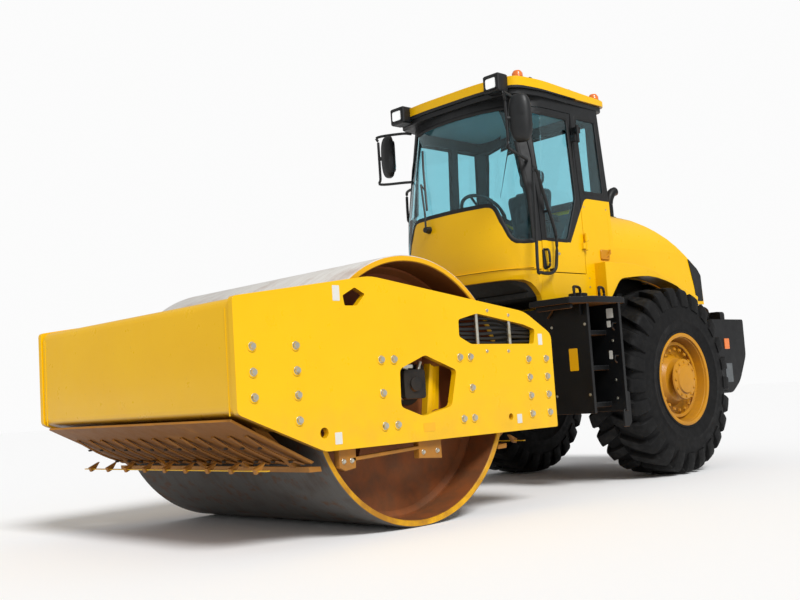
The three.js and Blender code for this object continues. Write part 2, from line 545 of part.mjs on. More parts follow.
// Left door: lower panel and window frame in one, and its pane.
const doorGlassZone = (grow) => slabX(outline([
  [DOOR_FRONT_Y + 38 - grow, SILL_Z + 12 - grow, 25], [DOOR_BACK_Y - 195 + grow, SILL_Z + 12 - grow, 30],
  [DOOR_BACK_Y - 38 + grow, 2255, 40], [DOOR_BACK_Y - 38 + grow, 2925 + grow, 30],
  [DOOR_FRONT_Y + 38 - grow, 2925 + grow, 30]]), 300, far);
const doorLeaf = cabSkin(0, 42).intersect(doorway(0)).subtract(doorGlassZone(0));
add('cab_door', join(doorLeaf, ...doorKnuckles(0, -1)), YELLOW);
add('door_glass', cabSkin(10, 6).intersect(doorGlassZone(-GAP)), GLASS);

const [lowKnuckle, highKnuckle] = doorKnuckles(1, 1);
add('cab_side_left', join(cut(sideWall, doorway(6)), lowKnuckle), YELLOW);
add('cab_frame', join(frameShape, highKnuckle), BLACK);

function doorRail() {
  const x = CAB_HALF + 50;
  const y = DOOR_FRONT_Y;
  const loop = bentTube([
    [x - 100, y + 18, 2340], [x, y + 22, 2300], [x + 6, y + 30, 2050], [x + 6, y + 40, 1780], [x, y + 90, 1715],
    [x, y + 145, 1760], [x, y + 135, 2000], [x - 10, y + 68, 2290], [x - 100, y + 18, 2420]], 12, 20);
  return join(loop, rod([x - 80, y + 40, 1790], [x + 6, y + 40, 1790], 10));
}
add('door_rail', doorRail().subtract(stacked(cabLevels, -GAP, FLOOR_Z, EAVES_Z)), BLACK);

// Roof cap over a black liner that also makes the visor.
const ROOF_FRONT_Y = CAB_FRONT_Y + 110;
const ROOF_BACK_Y = CAB_BACK_Y + 110;
const ROOF_HALF = CAB_HALF;
function roofPlan(inset) {
  const side = ROOF_HALF - inset;
  const front = ROOF_FRONT_Y + inset;
  const back = ROOF_BACK_Y - inset;
  return outline([
    [50 - side, front + 60, 90], [-360, front, 160], [360, front, 160], [side - 50, front + 60, 90],
    [side, ROOF_FRONT_Y + 330, 90], [side - 25, back, 90], [25 - side, back, 90], [-side, ROOF_FRONT_Y + 330, 90]]);
}
const roofSlope = (base, frontTop, rearTop) => slabX(outline([
  [ROOF_FRONT_Y - 50, base], [ROOF_BACK_Y + 50, base], [ROOF_BACK_Y + 50, rearTop],
  [ROOF_FRONT_Y - 50, frontTop]]), -far, far);
const LINER_TOP = EAVES_Z + 40;
add('roof_liner', slabZ(roofPlan(18), EAVES_Z + GAP, LINER_TOP), BLACK);
add('cab_roof', slabZ(roofPlan(0), LINER_TOP + GAP, 3260).intersect(roofSlope(3000, 3190, 3140)), YELLOW);

// The floor steps up over the tyres at its back corners.
const FLOOR_BACK_Y = CAB_BACK_Y - 46;
const WELL_Y = FENDER_Y0 - 30;      // front of the boxes over the tyres
const TOE_Y = DOOR_FRONT_Y - 60;  // where the flat floor ends and the toe board rises
function cabFloor() {
  const inside = stacked(cabLevels, 40 + GAP, FLOOR_Z, EAVES_Z);
  const slab = cut(
    block(-far, far, TOE_Y, FLOOR_BACK_Y, FLOOR_Z + 40, FLOOR_Z + 80),
    block(WELL_IN, far, WELL_Y, CAB_BACK_Y, 1400, 1600), block(-far, -WELL_IN, WELL_Y, CAB_BACK_Y, 1400, 1600));
  const toeBoard = slabX(outline([
    [TOE_Y + 60, FLOOR_Z + 40], [TOE_Y + 60, FLOOR_Z + 80], [TOE_Y - 90, ARCH_TOP_Z + 50], [1300, ARCH_TOP_Z + 50],
    [1300, ARCH_TOP_Z + 10], [TOE_Y - 110, ARCH_TOP_Z + 10]]), -far, far);
  const well = join(
    block(WELL_IN - 20, WELL_IN, WELL_Y - 20, FLOOR_BACK_Y, FLOOR_Z + 60, FENDER_TOP + 30),
    block(WELL_IN - 20, far, WELL_Y - 20, WELL_Y, FLOOR_Z + 60, FENDER_TOP + 30),
    block(WELL_IN - 20, far, WELL_Y - 20, FLOOR_BACK_Y, FENDER_TOP + 10, FENDER_TOP + 30));
  return join(slab, toeBoard, well, mirrored(well)).intersect(inside);
}
add('cab_floor', cabFloor(), BLACK);

// ---- inside the cab -----------------------------------------------------------------------------
const CARPET_Z = FLOOR_Z + 80 + GAP;
const SEAT_Y = CAB_BACK_Y - 265;  // foot of the backrest
const SEAT_Z = 1900;
add('seat_base', slabZ(rectangle(-200, 200, SEAT_Y - 295, SEAT_Y + 75, 50), CARPET_Z, SEAT_Z), BLACK);
add('seat_cushion', slabZ(rectangle(-250, 250, SEAT_Y - 375, SEAT_Y + 95, 80), SEAT_Z + GAP, SEAT_Z + 110), CLOTH);
const BACKREST_Z = SEAT_Z + 110 + GAP;
add('seat_back', slabX(outline([
  [SEAT_Y, BACKREST_Z, 20], [SEAT_Y + 120, BACKREST_Z, 30], [SEAT_Y + 200, SEAT_Z + 710, 50],
  [SEAT_Y + 105, SEAT_Z + 760, 40], [SEAT_Y + 45, SEAT_Z + 400, 80]]), -235, 235), CLOTH);
const CONSOLE_TOP = 2130;
const CONSOLE_Y = CAB_FRONT_Y + 170;
function dashConsole() {
  const stand = slabX(outline([
    [CONSOLE_Y + 148, CARPET_Z, 8], [CONSOLE_Y + 215, CARPET_Z, 8], [CONSOLE_Y + 220, CONSOLE_TOP - 60, 60],
    [CONSOLE_Y + 180, CONSOLE_TOP, 30], [CONSOLE_Y + 40, CONSOLE_TOP + 20, 30],
    [CONSOLE_Y + 55, CONSOLE_TOP - 160, 60]]), -170, 170);
  return join(stand, rod([0, CONSOLE_Y + 140, 2080], [0, CONSOLE_Y + 275, 2230], 26));
}
function steeringWheel() {
  const rim = solid(new THREE.TorusGeometry(190, 14, 6, 20));
  const hub = solid(new THREE.CylinderGeometry(45, 45, 30, SMALL).rotateX(Math.PI / 2));
  const spoke = solid(new THREE.BoxGeometry(370, 34, 14));
  return join(rim, hub, spoke).rotate([-42, 0, 0]).translate([0, CONSOLE_Y + 285, 2241]);
}
add('steering_console', join(dashConsole(), steeringWheel()), BLACK);

// ---- lamps, mirrors and rails on the cab --------------------------------------------------------
function workLight() {
  const x = CAB_HALF - 185;
  const y = ROOF_FRONT_Y - 5;
  const housing = slabY(rectangle(x - 62, x + 62, EAVES_Z + 12, EAVES_Z + 128, 22), y - 55, y);
  const neck = block(x - 20, x + 20, y - 10, y + 85, EAVES_Z + 5, EAVES_Z + 30);
  return join(housing, neck).subtract(slabZ(roofPlan(18 - GAP), EAVES_Z, LINER_TOP + 1));
}
addPair('work_light', workLight(), BLACK);

// A mirror's shell is toed in toward the driver and held by a loop whose ends meet the front pillar.
const MIRROR_TOE = 24;
const MIRROR_HALF = [82, 30, 170];
function mirror(x, y, z) {
  const [wide, deep, tall] = MIRROR_HALF;
  const shell = slabZ(rectangle(-wide, wide, -deep, deep, 28), -tall, tall)
    .rotate([0, 0, MIRROR_TOE]).translate([x, y, z]);
  const pillarY = DOOR_FRONT_Y - 47;
  const armEnd = (height) => [[CAB_HALF - 120, pillarY, height], [CAB_HALF - 25, pillarY - 4, height]];
  const loop = bentTube([
    ...armEnd(z + 205), [x - 60, y + 60, z + 236], [x + 20, y, z + 228], [x + 30, y, z + 100], [x + 30, y, z - 100],
    [x + 20, y, z - 228], [x - 60, y + 60, z - 236], ...armEnd(z - 215).reverse()], 11, 20);
  return join(shell, loop).subtract(stacked(cabLevels, -2 * GAP, FLOOR_Z, EAVES_Z));
}
add('mirror_left', mirror(CAB_HALF + 145, CAB_FRONT_Y - 30, 2765), BLACK);
add('mirror_right', mirrored(mirror(CAB_HALF + 90, CAB_FRONT_Y + 150, 2798)), BLACK);

// ---- hood and rear ------------------------------------------------------------------------------
const hoodLine = (inset) => outline([
  [HOOD_FRONT_Y - 200, 1440], [HOOD_TAIL_Y - inset, 1440], [HOOD_TAIL_Y - 10 - inset, 1700, 60],
  [HOOD_TAIL_Y - 70 - inset, HOOD_TOP - 450 - inset * 0.6, 90], [WHEELBASE + 430, HOOD_TOP - 90 - inset, 200],
  [WHEELBASE + 80, HOOD_TOP - inset, 200], [HOOD_FRONT_Y - 200, HOOD_TOP - inset]]);
const hoodSection = (inset) => outline([
  [-HOOD_HALF + inset, 1430], [HOOD_HALF - inset, 1430], [HOOD_HALF - inset - 10, HOOD_TOP - 230, 100],
  [470 - inset, HOOD_TOP + 8 - inset, 130], [-470 + inset, HOOD_TOP + 8 - inset, 130],
  [-HOOD_HALF + inset + 10, HOOD_TOP - 230, 100]]);
const hoodSolid = (inset, y0, z0) => slabX(hoodLine(inset), -far, far)
  .intersect(slabY(hoodSection(inset), y0, HOOD_TAIL_Y + 150))
  .intersect(block(-far, far, y0, HOOD_TAIL_Y + 150, z0, 2400));
const hoodShell = cut(
  hoodSolid(0, HOOD_FRONT_Y, 1445), hoodSolid(30, HOOD_FRONT_Y - 100, 1400), archVoid, mirrored(archVoid));
const grilleZone = (grow) => block(
  -470 - grow, 470 + grow, HOOD_TAIL_Y - 60, HOOD_TAIL_Y + 50, 1490 - grow, 1700 + grow);
// The hood tips back on two lugs at its tail that turn on pins carried by the counterweight.
const HOOD_PIN = { x: 310, y: HOOD_TAIL_Y - 55, z: 1400, radius: 16 };
const pinBar = (side, x0, x1, radius) => rod(
  [side * x0, HOOD_PIN.y, HOOD_PIN.z], [side * x1, HOOD_PIN.y, HOOD_PIN.z], radius, PIN_FACETS);
function hoodLug(side) {
  const arm = slabX(rectangle(HOOD_PIN.y - 35, HOOD_PIN.y + 37, 1365, 1478, 20), 315, 350);
  return (side > 0 ? arm : mirrored(arm)).subtract(pinBar(side, 300, 370, HOOD_PIN.radius + 0.7));
}
add('engine_hood', join(hoodShell.subtract(grilleZone(0)), hoodLug(1), hoodLug(-1)), YELLOW);
add('hood_grille', hoodShell.intersect(grilleZone(-GAP)), BLACK);
const EXHAUST_Y = HOOD_FRONT_Y + 520;
function exhaust() {
  const stack = bentTube([
    [330, EXHAUST_Y, HOOD_TOP - 150], [330, EXHAUST_Y, HOOD_TOP + 130], [333, EXHAUST_Y + 15, HOOD_TOP + 195],
    [345, EXHAUST_Y + 95, HOOD_TOP + 250]], 40, 10, 5);
  return stack.subtract(hoodSolid(-GAP, HOOD_FRONT_Y, 1440));
}
add('exhaust_pipe', exhaust(), BLACK);

addPair('fender', slabX(outline([
  [FENDER_Y0, FLOOR_Z], [FENDER_Y0, FENDER_TOP], [WHEELBASE - 290, FENDER_TOP], [WHEELBASE, 1712, 200],
  [WHEELBASE + 710, 1490, 20], [WHEELBASE + 680, 1410], ...archLine.slice().reverse()]), HOOD_HALF + 6, FENDER_OUT), YELLOW);

add('engine_block', block(-330, 330, WHEELBASE - 190, WHEELBASE + 570, 1320 + GAP, 1800), CAST);

const CW_HALF = 845;
function counterweight() {
  const side = outline([
    [CW_FRONT_Y, CW_TOP_Z], [TAIL_Y, CW_TOP_Z, 20], [TAIL_Y, 950, 40], [TAIL_Y - 145, 720, 60],
    [TAIL_Y - 300, 620, 40], [cwFront(620), 620]]);
  const lampBoxes = [-640, 640].map((x) => slabY(
    rectangle(x - 75, x + 75, 1270, 1372, 30), TAIL_Y - 170, TAIL_Y - 90));
  const hoodPins = [-1, 1].flatMap((hand) => {
    const post = slabX(rectangle(HOOD_PIN.y - 45, HOOD_PIN.y + 45, CW_TOP_Z - 10, 1430, 20), 265, 310 - GAP);
    return [hand > 0 ? post : mirrored(post), pinBar(hand, 305, 350, HOOD_PIN.radius)];
  });
  return join(slabX(side, -CW_HALF, CW_HALF), ...lampBoxes, ...hoodPins);
}
add('counterweight', counterweight(), BLACK);

model.updateMatrixWorld(true);
export default model;
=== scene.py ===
"""Single drum roller: finishes, tyres, drum, lamps, glass seals, seat, bolts and small fittings.

Metres, +Z up, ground at z = 0. The machine faces -Y and its left side is at +X.
"""
import json
import math

import bmesh
import bpy
import numpy as np
from mathutils import Matrix, Vector
from mathutils.bvhtree import BVHTree

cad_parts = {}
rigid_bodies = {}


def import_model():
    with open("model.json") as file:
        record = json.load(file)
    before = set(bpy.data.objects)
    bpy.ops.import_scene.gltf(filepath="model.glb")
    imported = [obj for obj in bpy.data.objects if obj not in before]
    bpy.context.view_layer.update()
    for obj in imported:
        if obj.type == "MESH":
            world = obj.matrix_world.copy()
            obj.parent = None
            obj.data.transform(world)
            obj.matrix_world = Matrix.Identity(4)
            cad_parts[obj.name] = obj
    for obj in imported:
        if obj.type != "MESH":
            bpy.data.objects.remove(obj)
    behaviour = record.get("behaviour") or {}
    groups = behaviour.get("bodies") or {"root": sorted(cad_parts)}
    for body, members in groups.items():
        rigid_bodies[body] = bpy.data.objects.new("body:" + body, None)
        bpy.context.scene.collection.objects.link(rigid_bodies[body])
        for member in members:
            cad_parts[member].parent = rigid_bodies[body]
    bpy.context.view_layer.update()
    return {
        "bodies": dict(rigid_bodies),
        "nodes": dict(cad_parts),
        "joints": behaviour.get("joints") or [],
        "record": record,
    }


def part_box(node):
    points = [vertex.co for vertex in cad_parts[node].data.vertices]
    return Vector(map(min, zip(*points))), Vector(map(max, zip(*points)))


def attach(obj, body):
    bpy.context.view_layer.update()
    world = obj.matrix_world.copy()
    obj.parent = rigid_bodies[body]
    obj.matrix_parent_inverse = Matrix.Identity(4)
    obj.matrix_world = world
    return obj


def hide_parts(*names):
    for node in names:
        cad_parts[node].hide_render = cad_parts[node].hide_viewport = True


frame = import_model()
NODES = frame["nodes"]
MM = 0.001


def span(node):
    """Lowest and highest corner of a CAD node as two arrays."""
    low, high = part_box(node)
    return np.array(low), np.array(high)


# ---- anchors taken from the frame ---------------------------------------------------------------
PLATE_LOW, PLATE_HIGH = span("side_plate_left")
BEAM_LOW, BEAM_HIGH = span("front_crossbeam")
DRUM_LOW, DRUM_HIGH = span("drum_shell")
DRUM_R = DRUM_HIGH[2] / 2
AXLE = np.array([0.0, (DRUM_LOW[1] + DRUM_HIGH[1]) / 2, DRUM_R])
TYRE_LOW, TYRE_HIGH = span("tyre_left")
TYRE_R = TYRE_HIGH[2] / 2
WHEEL = (TYRE_LOW + TYRE_HIGH) / 2
RIM_LOW, RIM_HIGH = span("rim_left")
RIM_R = (RIM_HIGH[2] - RIM_LOW[2]) / 2
NOSE_LOW = span("cab_nose")[0]
DOOR_HIGH = span("cab_door")[1]
ROOF_LOW, ROOF_HIGH = span("cab_roof")
SIDE_HIGH = span("cab_side_right")[1]
STEP_LOW, STEP_HIGH = span("step_box_left")
HOOD_LOW, HOOD_HIGH = span("engine_hood")
WEIGHT_HIGH = span("counterweight")[1]
DECK_Z = STEP_HIGH[2]
DRUM_WALL = 0.036
PANES = ("windscreen", "rear_quarter_glass_left", "rear_quarter_glass_right", "side_glass_right",
         "back_glass", "door_glass")

# ---- materials ----------------------------------------------------------------------------------
YARD_DUST = "#9C7A45"
# brown for faces that look down: partly road film, partly painted shade under things
UNDERSIDE_FILM_AND_SHADE = "#6E4419"


def linear(hex_colour):
    """Linear RGBA of an sRGB hex value."""
    parts = np.array([int(hex_colour[i:i + 2], 16) for i in (1, 3, 5)]) / 255
    rgb = np.where(parts <= 0.04045, parts / 12.92, ((parts + 0.055) / 1.055) ** 2.4)
    return (*(float(value) for value in rgb), 1.0)


def add_node(tree, kind, inputs=(), **settings):
    """Adds a shader node, sets its properties, and sets or links each (socket, value) pair."""
    node = tree.nodes.new("ShaderNode" + kind)
    for key, value in settings.items():
        setattr(node, key, value)
    for socket, value in dict(inputs).items():
        if isinstance(value, bpy.types.NodeSocket):
            tree.links.new(value, node.inputs[socket])
        else:
            node.inputs[socket].default_value = value
    return node


def start_material(name):
    """An empty node material with its shader and the piece's own coordinates in metres."""
    material = bpy.data.materials.new(name)
    material.use_nodes = True
    tree = material.node_tree
    tree.nodes.clear()
    place = add_node(tree, "TexCoord").outputs["Object"]
    shader = add_node(tree, "BsdfPrincipled")
    add_node(tree, "OutputMaterial", {"Surface": shader.outputs["BSDF"]})
    return material, tree, place, shader


def spots(tree, place, size_mm, low, high, detail=4.0, stretch=(1, 1, 1)):
    """Noise with features of the given size, remapped so that low..high becomes 0..1."""
    aim = add_node(tree, "Mapping", {"Vector": place, "Scale": stretch})
    noise = add_node(tree, "TexNoise", {
        "Vector": aim.outputs[0], "Scale": 1000 / size_mm, "Detail": detail, "Roughness": 0.6})
    return add_node(tree, "MapRange", {
        "Value": noise.outputs["Fac"], "From Min": low, "From Max": high}).outputs["Result"]


def times(tree, a, b):
    """Product of two values or sockets."""
    return add_node(tree, "Math", {0: a, 1: b}, operation="MULTIPLY").outputs[0]


def blend_colour(tree, factor, a, b):
    """Mix of two colours or sockets."""
    node = add_node(tree, "Mix", {"Factor": factor, 6: a, 7: b}, data_type="RGBA")
    return node.outputs[2]


def low_down(tree, place, clear_z, shade_and_dirt_z):
    """1 at the second height and below, 0 at the first and above; marks dust, and painted shade on the
    drum.
    """
    z = add_node(tree, "SeparateXYZ", {0: place}).outputs["Z"]
    return add_node(tree, "MapRange", {
        "Value": z, "From Min": clear_z, "From Max": shade_and_dirt_z}).outputs["Result"]


def bumped(tree, shader, height, strength, distance):
    """Relief from a height socket, distance metres deep where the height is 1."""
    bump = add_node(tree, "Bump", {"Height": height, "Strength": strength, "Distance": distance})
    tree.links.new(bump.outputs["Normal"], shader.inputs["Normal"])


def varied_roughness(tree, shader, place, size_mm, low, high):
    """Roughness that drifts from low to high in patches of the given size."""
    patch = spots(tree, place, size_mm, 0.3, 0.7)
    span_node = add_node(tree, "MapRange", {"Value": patch, "To Min": low, "To Max": high})
    tree.links.new(span_node.outputs["Result"], shader.inputs["Roughness"])


def enamel(name, colour, shade, dust, dust_z, amount, roughness, coat=0.3):
    """Sprayed machine enamel: a glossy coat with faint orange peel, thin dust that thickens toward
    dust_z, brown road film and painted shade on undersides, and a slightly deeper tone in broad
    patches."""
    material, tree, place, shader = start_material(name)
    patches = spots(tree, place, 420, 0.35, 0.7)
    base = blend_colour(tree, times(tree, patches, 0.35), linear(colour), linear(shade))
    film = times(tree, low_down(tree, place, *dust_z), spots(tree, place, 160, 0.32, 0.62, 6))
    dusty = blend_colour(tree, times(tree, film, amount), base, linear(dust))
    specks = times(tree, spots(tree, place, 14, 0.66, 0.72), 0.25)
    speckled = blend_colour(tree, specks, dusty, linear(dust))
    # faces that look down turn brown: partly road film, partly painted shade
    normal = add_node(tree, "NewGeometry").outputs["Normal"]
    facing = add_node(tree, "SeparateXYZ", {0: normal}).outputs["Z"]
    under = add_node(tree, "MapRange", {
        "Value": facing, "From Min": -0.35, "From Max": -0.85}).outputs["Result"]
    film_and_shade_below = times(tree, under, spots(tree, place, 260, 0.1, 0.4, 5))
    tree.links.new(blend_colour(tree, times(tree, film_and_shade_below, 0.85), speckled, linear(UNDERSIDE_FILM_AND_SHADE)),
                   shader.inputs["Base Color"])
    varied_roughness(tree, shader, place, 90, roughness, roughness + 0.14)
    # orange peel is about 1 mm across; drawn at 6 mm so that it still shows from across the yard
    bumped(tree, shader, spots(tree, place, 6, 0.2, 0.8, 2), 0.015, 0.0003)
    shader.inputs["Specular IOR Level"].default_value = 0.3
    shader.inputs["Coat Weight"].default_value = coat
    shader.inputs["Coat Roughness"].default_value = 0.12
    shader.inputs["IOR"].default_value = 1.5
    return material


def moulded(name, colour, pale, roughness, grain_mm=3):
    """Moulded plastic or rubber: fine leather-like grain and a little pale bloom."""
    material, tree, place, shader = start_material(name)
    bloom = times(tree, spots(tree, place, 70, 0.45, 0.8), 0.4)
    tree.links.new(blend_colour(tree, bloom, linear(colour), linear(pale)), shader.inputs["Base Color"])
    varied_roughness(tree, shader, place, 40, roughness - 0.08, roughness + 0.08)
    bumped(tree, shader, spots(tree, place, grain_mm, 0.3, 0.7, 2), 0.25, 0.0005)
    return material


def bare_metal(name, colour, stain, stain_share, roughness, stretch=(1, 1, 1)):
    """Turned, rolled or plated metal: streaks along the way it was worked, and stained patches."""
    material, tree, place, shader = start_material(name)
    stains = spots(tree, place, 60, 0.62 - stain_share, 0.8 - stain_share, 6)
    tree.links.new(blend_colour(tree, stains, linear(colour), linear(stain)),
                   shader.inputs["Base Color"])
    shader.inputs["Metallic"].default_value = 1.0
    varied_roughness(tree, shader, place, 30, roughness, roughness + 0.15)
    bumped(tree, shader, spots(tree, place, 5, 0.3, 0.7, 3, stretch), 0.15, 0.0004)
    return material


def drum_face():
    """Rolled steel of the drum: near white above, partly bright worn steel and partly painted
    highlight; rust tints, rings of fine scoring round it, and painted shade with packed earth below."""
    material, tree, place, shader = start_material("rolled_drum_steel")
    scoring = spots(tree, place, 240, 0.3, 0.7, 5, (40, 1, 1))
    # the pale steel: partly the worn steel's own brightness, partly painted highlight of the top light
    steel = blend_colour(tree, scoring, linear("#FAF8F4"), linear("#DCD6CC"))
    rust = times(tree, spots(tree, place, 230, 0.50, 0.74, 8), 0.5)
    tinted = blend_colour(tree, rust, steel, linear("#9A5A30"))
    # patchy darkening toward the bottom, near black: painted shade, with packed earth in the brown
    # patches
    shade_and_soil = times(tree, low_down(tree, place, 1.35, 0.75), spots(tree, place, 300, 0.0, 0.26, 8))
    colour = blend_colour(tree, times(tree, shade_and_soil, 0.9), tinted, linear("#1D1915"))
    patches = times(tree, times(tree, shade_and_soil, spots(tree, place, 90, 0.55, 0.66, 6)), 0.7)
    tree.links.new(blend_colour(tree, patches, colour, linear("#5E3A1F")), shader.inputs["Base Color"])
    tree.links.new(add_node(tree, "MapRange", {
        "Value": shade_and_soil, "To Min": 0.3, "To Max": 0.1}).outputs["Result"], shader.inputs["Metallic"])
    rough = add_node(tree, "MapRange", {"Value": shade_and_soil, "To Min": 0.34, "To Max": 0.8})
    tree.links.new(rough.outputs["Result"], shader.inputs["Roughness"])
    grit = add_node(tree, "Math", {0: scoring, 1: spots(tree, place, 16, 0.4, 0.7, 4)}, operation="ADD")
    bumped(tree, shader, grit.outputs[0], 0.3, 0.001)
    return material


def tyre_rubber():
    """Vulcanised black rubber: grey scuffing and dust on what stands proud, darker in the grooves."""
    material, tree, place, shader = start_material("vulcanised_tread_rubber")
    offset = add_node(tree, "VectorMath", {0: place, 1: (0, WHEEL[1], WHEEL[2])}, operation="SUBTRACT")
    flat = add_node(tree, "VectorMath", {0: offset.outputs[0], 1: (0, 1, 1)}, operation="MULTIPLY")
    radius = add_node(tree, "VectorMath", {0: flat.outputs[0]}, operation="LENGTH").outputs["Value"]
    proud = add_node(tree, "MapRange", {
        "Value": radius, "From Min": TYRE_R - 0.035, "From Max": TYRE_R - 0.004}).outputs["Result"]
    scuffs = times(tree, proud, spots(tree, place, 60, 0.42, 0.72, 6))
    dust = times(tree, spots(tree, place, 180, 0.42, 0.75, 6), 0.35)
    body = blend_colour(tree, dust, linear("#070708"), linear("#1A1917"))
    tree.links.new(blend_colour(tree, times(tree, scuffs, 0.75), body, linear("#2C2B2A")),
                   shader.inputs["Base Color"])
    varied_roughness(tree, shader, place, 50, 0.62, 0.85)
    shader.inputs["Specular IOR Level"].default_value = 0.25
    bumped(tree, shader, spots(tree, place, 9, 0.3, 0.7, 5), 0.35, 0.0012)
    return material


def tinted_pane():
    """Toughened cab glass with a blue-green body tint; lamps shine through it, tinted."""
    material, tree, place, shader = start_material("toughened_tinted_glass")
    tint = linear("#B6E2EA")
    shader.inputs["Base Color"].default_value = tint
    shader.inputs["Transmission Weight"].default_value = 1.0
    shader.inputs["IOR"].default_value = 1.45
    film = spots(tree, place, 120, 0.4, 0.8, 5)
    haze = add_node(tree, "MapRange", {"Value": film, "To Min": 0.0, "To Max": 0.05})
    tree.links.new(haze.outputs["Result"], shader.inputs["Roughness"])
    clear = add_node(tree, "BsdfTransparent", {"Color": tint})
    path = add_node(tree, "LightPath")
    mix = add_node(tree, "MixShader", {
        0: path.outputs["Is Shadow Ray"], 1: shader.outputs["BSDF"], 2: clear.outputs["BSDF"]})
    tree.links.new(mix.outputs[0], tree.nodes["Material Output"].inputs["Surface"])
    return material


def lens(name, colour, glow=0.0, clear=0.4):
    """Ribbed lamp lens, pressed in coloured clear plastic."""
    material, tree, place, shader = start_material(name)
    ribs = add_node(tree, "TexWave", {"Vector": place, "Scale": 26.0}, bands_direction="Z")
    tone = times(tree, ribs.outputs["Fac"], 0.06)
    tree.links.new(blend_colour(tree, tone, linear(colour), (1, 1, 1, 1)), shader.inputs["Base Color"])
    bumped(tree, shader, ribs.outputs["Fac"], 0.4, 0.001)
    shader.inputs["Roughness"].default_value = 0.2
    shader.inputs["Coat Weight"].default_value = 0.1
    shader.inputs["Transmission Weight"].default_value = clear
    shader.inputs["Emission Color"].default_value = linear(colour)
    shader.inputs["Emission Strength"].default_value = glow
    return material


def woven_cloth():
    """Woven cloth: plain weave with threads about 1.2 mm apart, drawn at 4 mm to show."""
    material, tree, place, shader = start_material("woven_seat_cloth")
    warp = add_node(tree, "TexWave", {"Vector": place, "Scale": 80.0}, bands_direction="X")
    weft = add_node(tree, "TexWave", {"Vector": place, "Scale": 80.0}, bands_direction="Z")
    weave = times(tree, warp.outputs["Fac"], weft.outputs["Fac"])
    tree.links.new(blend_colour(tree, weave, linear("#1D2226"), linear("#4A525A")),
                   shader.inputs["Base Color"])
    bumped(tree, shader, weave, 0.5, 0.0008)
    shader.inputs["Roughness"].default_value = 0.88
    shader.inputs["Sheen Weight"].default_value = 0.4
    return material


def chequer_plate():
    """Black painted tread plate: raised slanting bars about 30 mm apart, worn paler on top."""
    material, tree, place, shader = start_material("black_tread_plate")
    turned_place = add_node(tree, "Mapping", {"Vector": place, "Rotation": (0, 0, math.pi / 4)})
    one = add_node(tree, "TexWave", {"Vector": turned_place.outputs[0], "Scale": 10.0},
                   bands_direction="X")
    two = add_node(tree, "TexWave", {"Vector": turned_place.outputs[0], "Scale": 10.0},
                   bands_direction="Y")
    bars = times(tree, one.outputs["Fac"], two.outputs["Fac"])
    raised = add_node(tree, "MapRange", {"Value": bars, "From Min": 0.35, "From Max": 0.55})
    tree.links.new(blend_colour(tree, raised.outputs["Result"], linear("#17191B"), linear("#4C4E50")),
                   shader.inputs["Base Color"])
    bumped(tree, shader, raised.outputs["Result"], 0.8, 0.003)
    shader.inputs["Roughness"].default_value = 0.5
    return material


YELLOW = enamel("yellow_sprayed_enamel", "#F4BE02", "#ECB100", YARD_DUST, (0.85, 0.3),
                0.35, 0.26, 0.08)
OCHRE = enamel("ochre_sprayed_enamel", "#C98A0C", "#B4780A", "#8A6233", (1.2, 0.3), 0.5,
               0.4, 0.05)
RIM_PAINT = enamel("scuffed_rim_enamel", "#EAB006", "#DC9E08", "#9A641C", (1.3, 0.2),
                   0.85, 0.4, 0.0)
# ochre paint darkened to brown as painted shade, for the drum heads, mounts and the drum's inside
SHADED_OCHRE = enamel("ochre_with_painted_shade", "#94542A", "#7E4422", "#57422F", (1.3, 0.3), 0.6, 0.55,
                0.0)
BRACKET = enamel("dull_ochre_enamel", "#B87A24", "#9C6420", "#7A5A38", (1.2, 0.3), 0.6,
                 0.5, 0.0)
BLACK = enamel("black_satin_enamel", "#0A0B0D", "#0F1113", "#3F3B36", (1.1, 0.3), 0.12,
               0.42, 0.0)
CASTING = enamel("dark_cast_iron", "#17181A", "#101112", "#55442F", (1.4, 0.4), 0.4,
                 0.55, 0.0)
PLASTIC = moulded("black_moulded_plastic", "#0C0E10", "#1D2124", 0.5)
RUBBER = moulded("black_rubber_seal", "#08090A", "#17191B", 0.62)
TRIM = moulded("grey_moulded_trim", "#565A5C", "#7A7E80", 0.6)
HEADLINER = moulded("pale_foam_headliner", "#A9C6D0", "#C6DCE2", 0.9, 6)
DRUM_STEEL = drum_face()
BOLT_STEEL = bare_metal("zinc_plated_steel", "#D2CFC2", "#A08A4E", 0.05, 0.28)
CHROME = bare_metal("hard_chromed_rod", "#E2E4E6", "#C7C9CA", -0.1, 0.08)
TYRE = tyre_rubber()
PANE = tinted_pane()
MIRROR_GLASS = bare_metal("silvered_mirror_glass", "#E6ECEE", "#DDE3E6", -0.2, 0.03)
CLOTH = woven_cloth()
TREAD_PLATE = chequer_plate()
AMBER = lens("amber_clear_plastic", "#E0700F", 0.05, 0.0)
WHITE_LENS = lens("frosted_clear_plastic", "#F2F5F5", 0.5, 0.2)
RED_LENS = lens("red_clear_plastic", "#B4120C", 0.1)
WHITE_PLATE = enamel("white_blank_plate", "#DDDBD3", "#C9C7BF", YARD_DUST, (0.9, 0.3), 0.25, 0.35)
SIGNAL_PLATE = enamel("signal_yellow_plate", "#F2B200", "#E5A600", YARD_DUST, (0.9, 0.3), 0.25,
                      0.35)
DARK_MESH = moulded("dark_woven_wire", "#0B0C0D", "#2A2D2F", 0.6)

# ---- surfaces -----------------------------------------------------------------------------------
AXES = {"X": (1, 2, 0), "Y": (0, 2, 1), "Z": (0, 1, 2)}


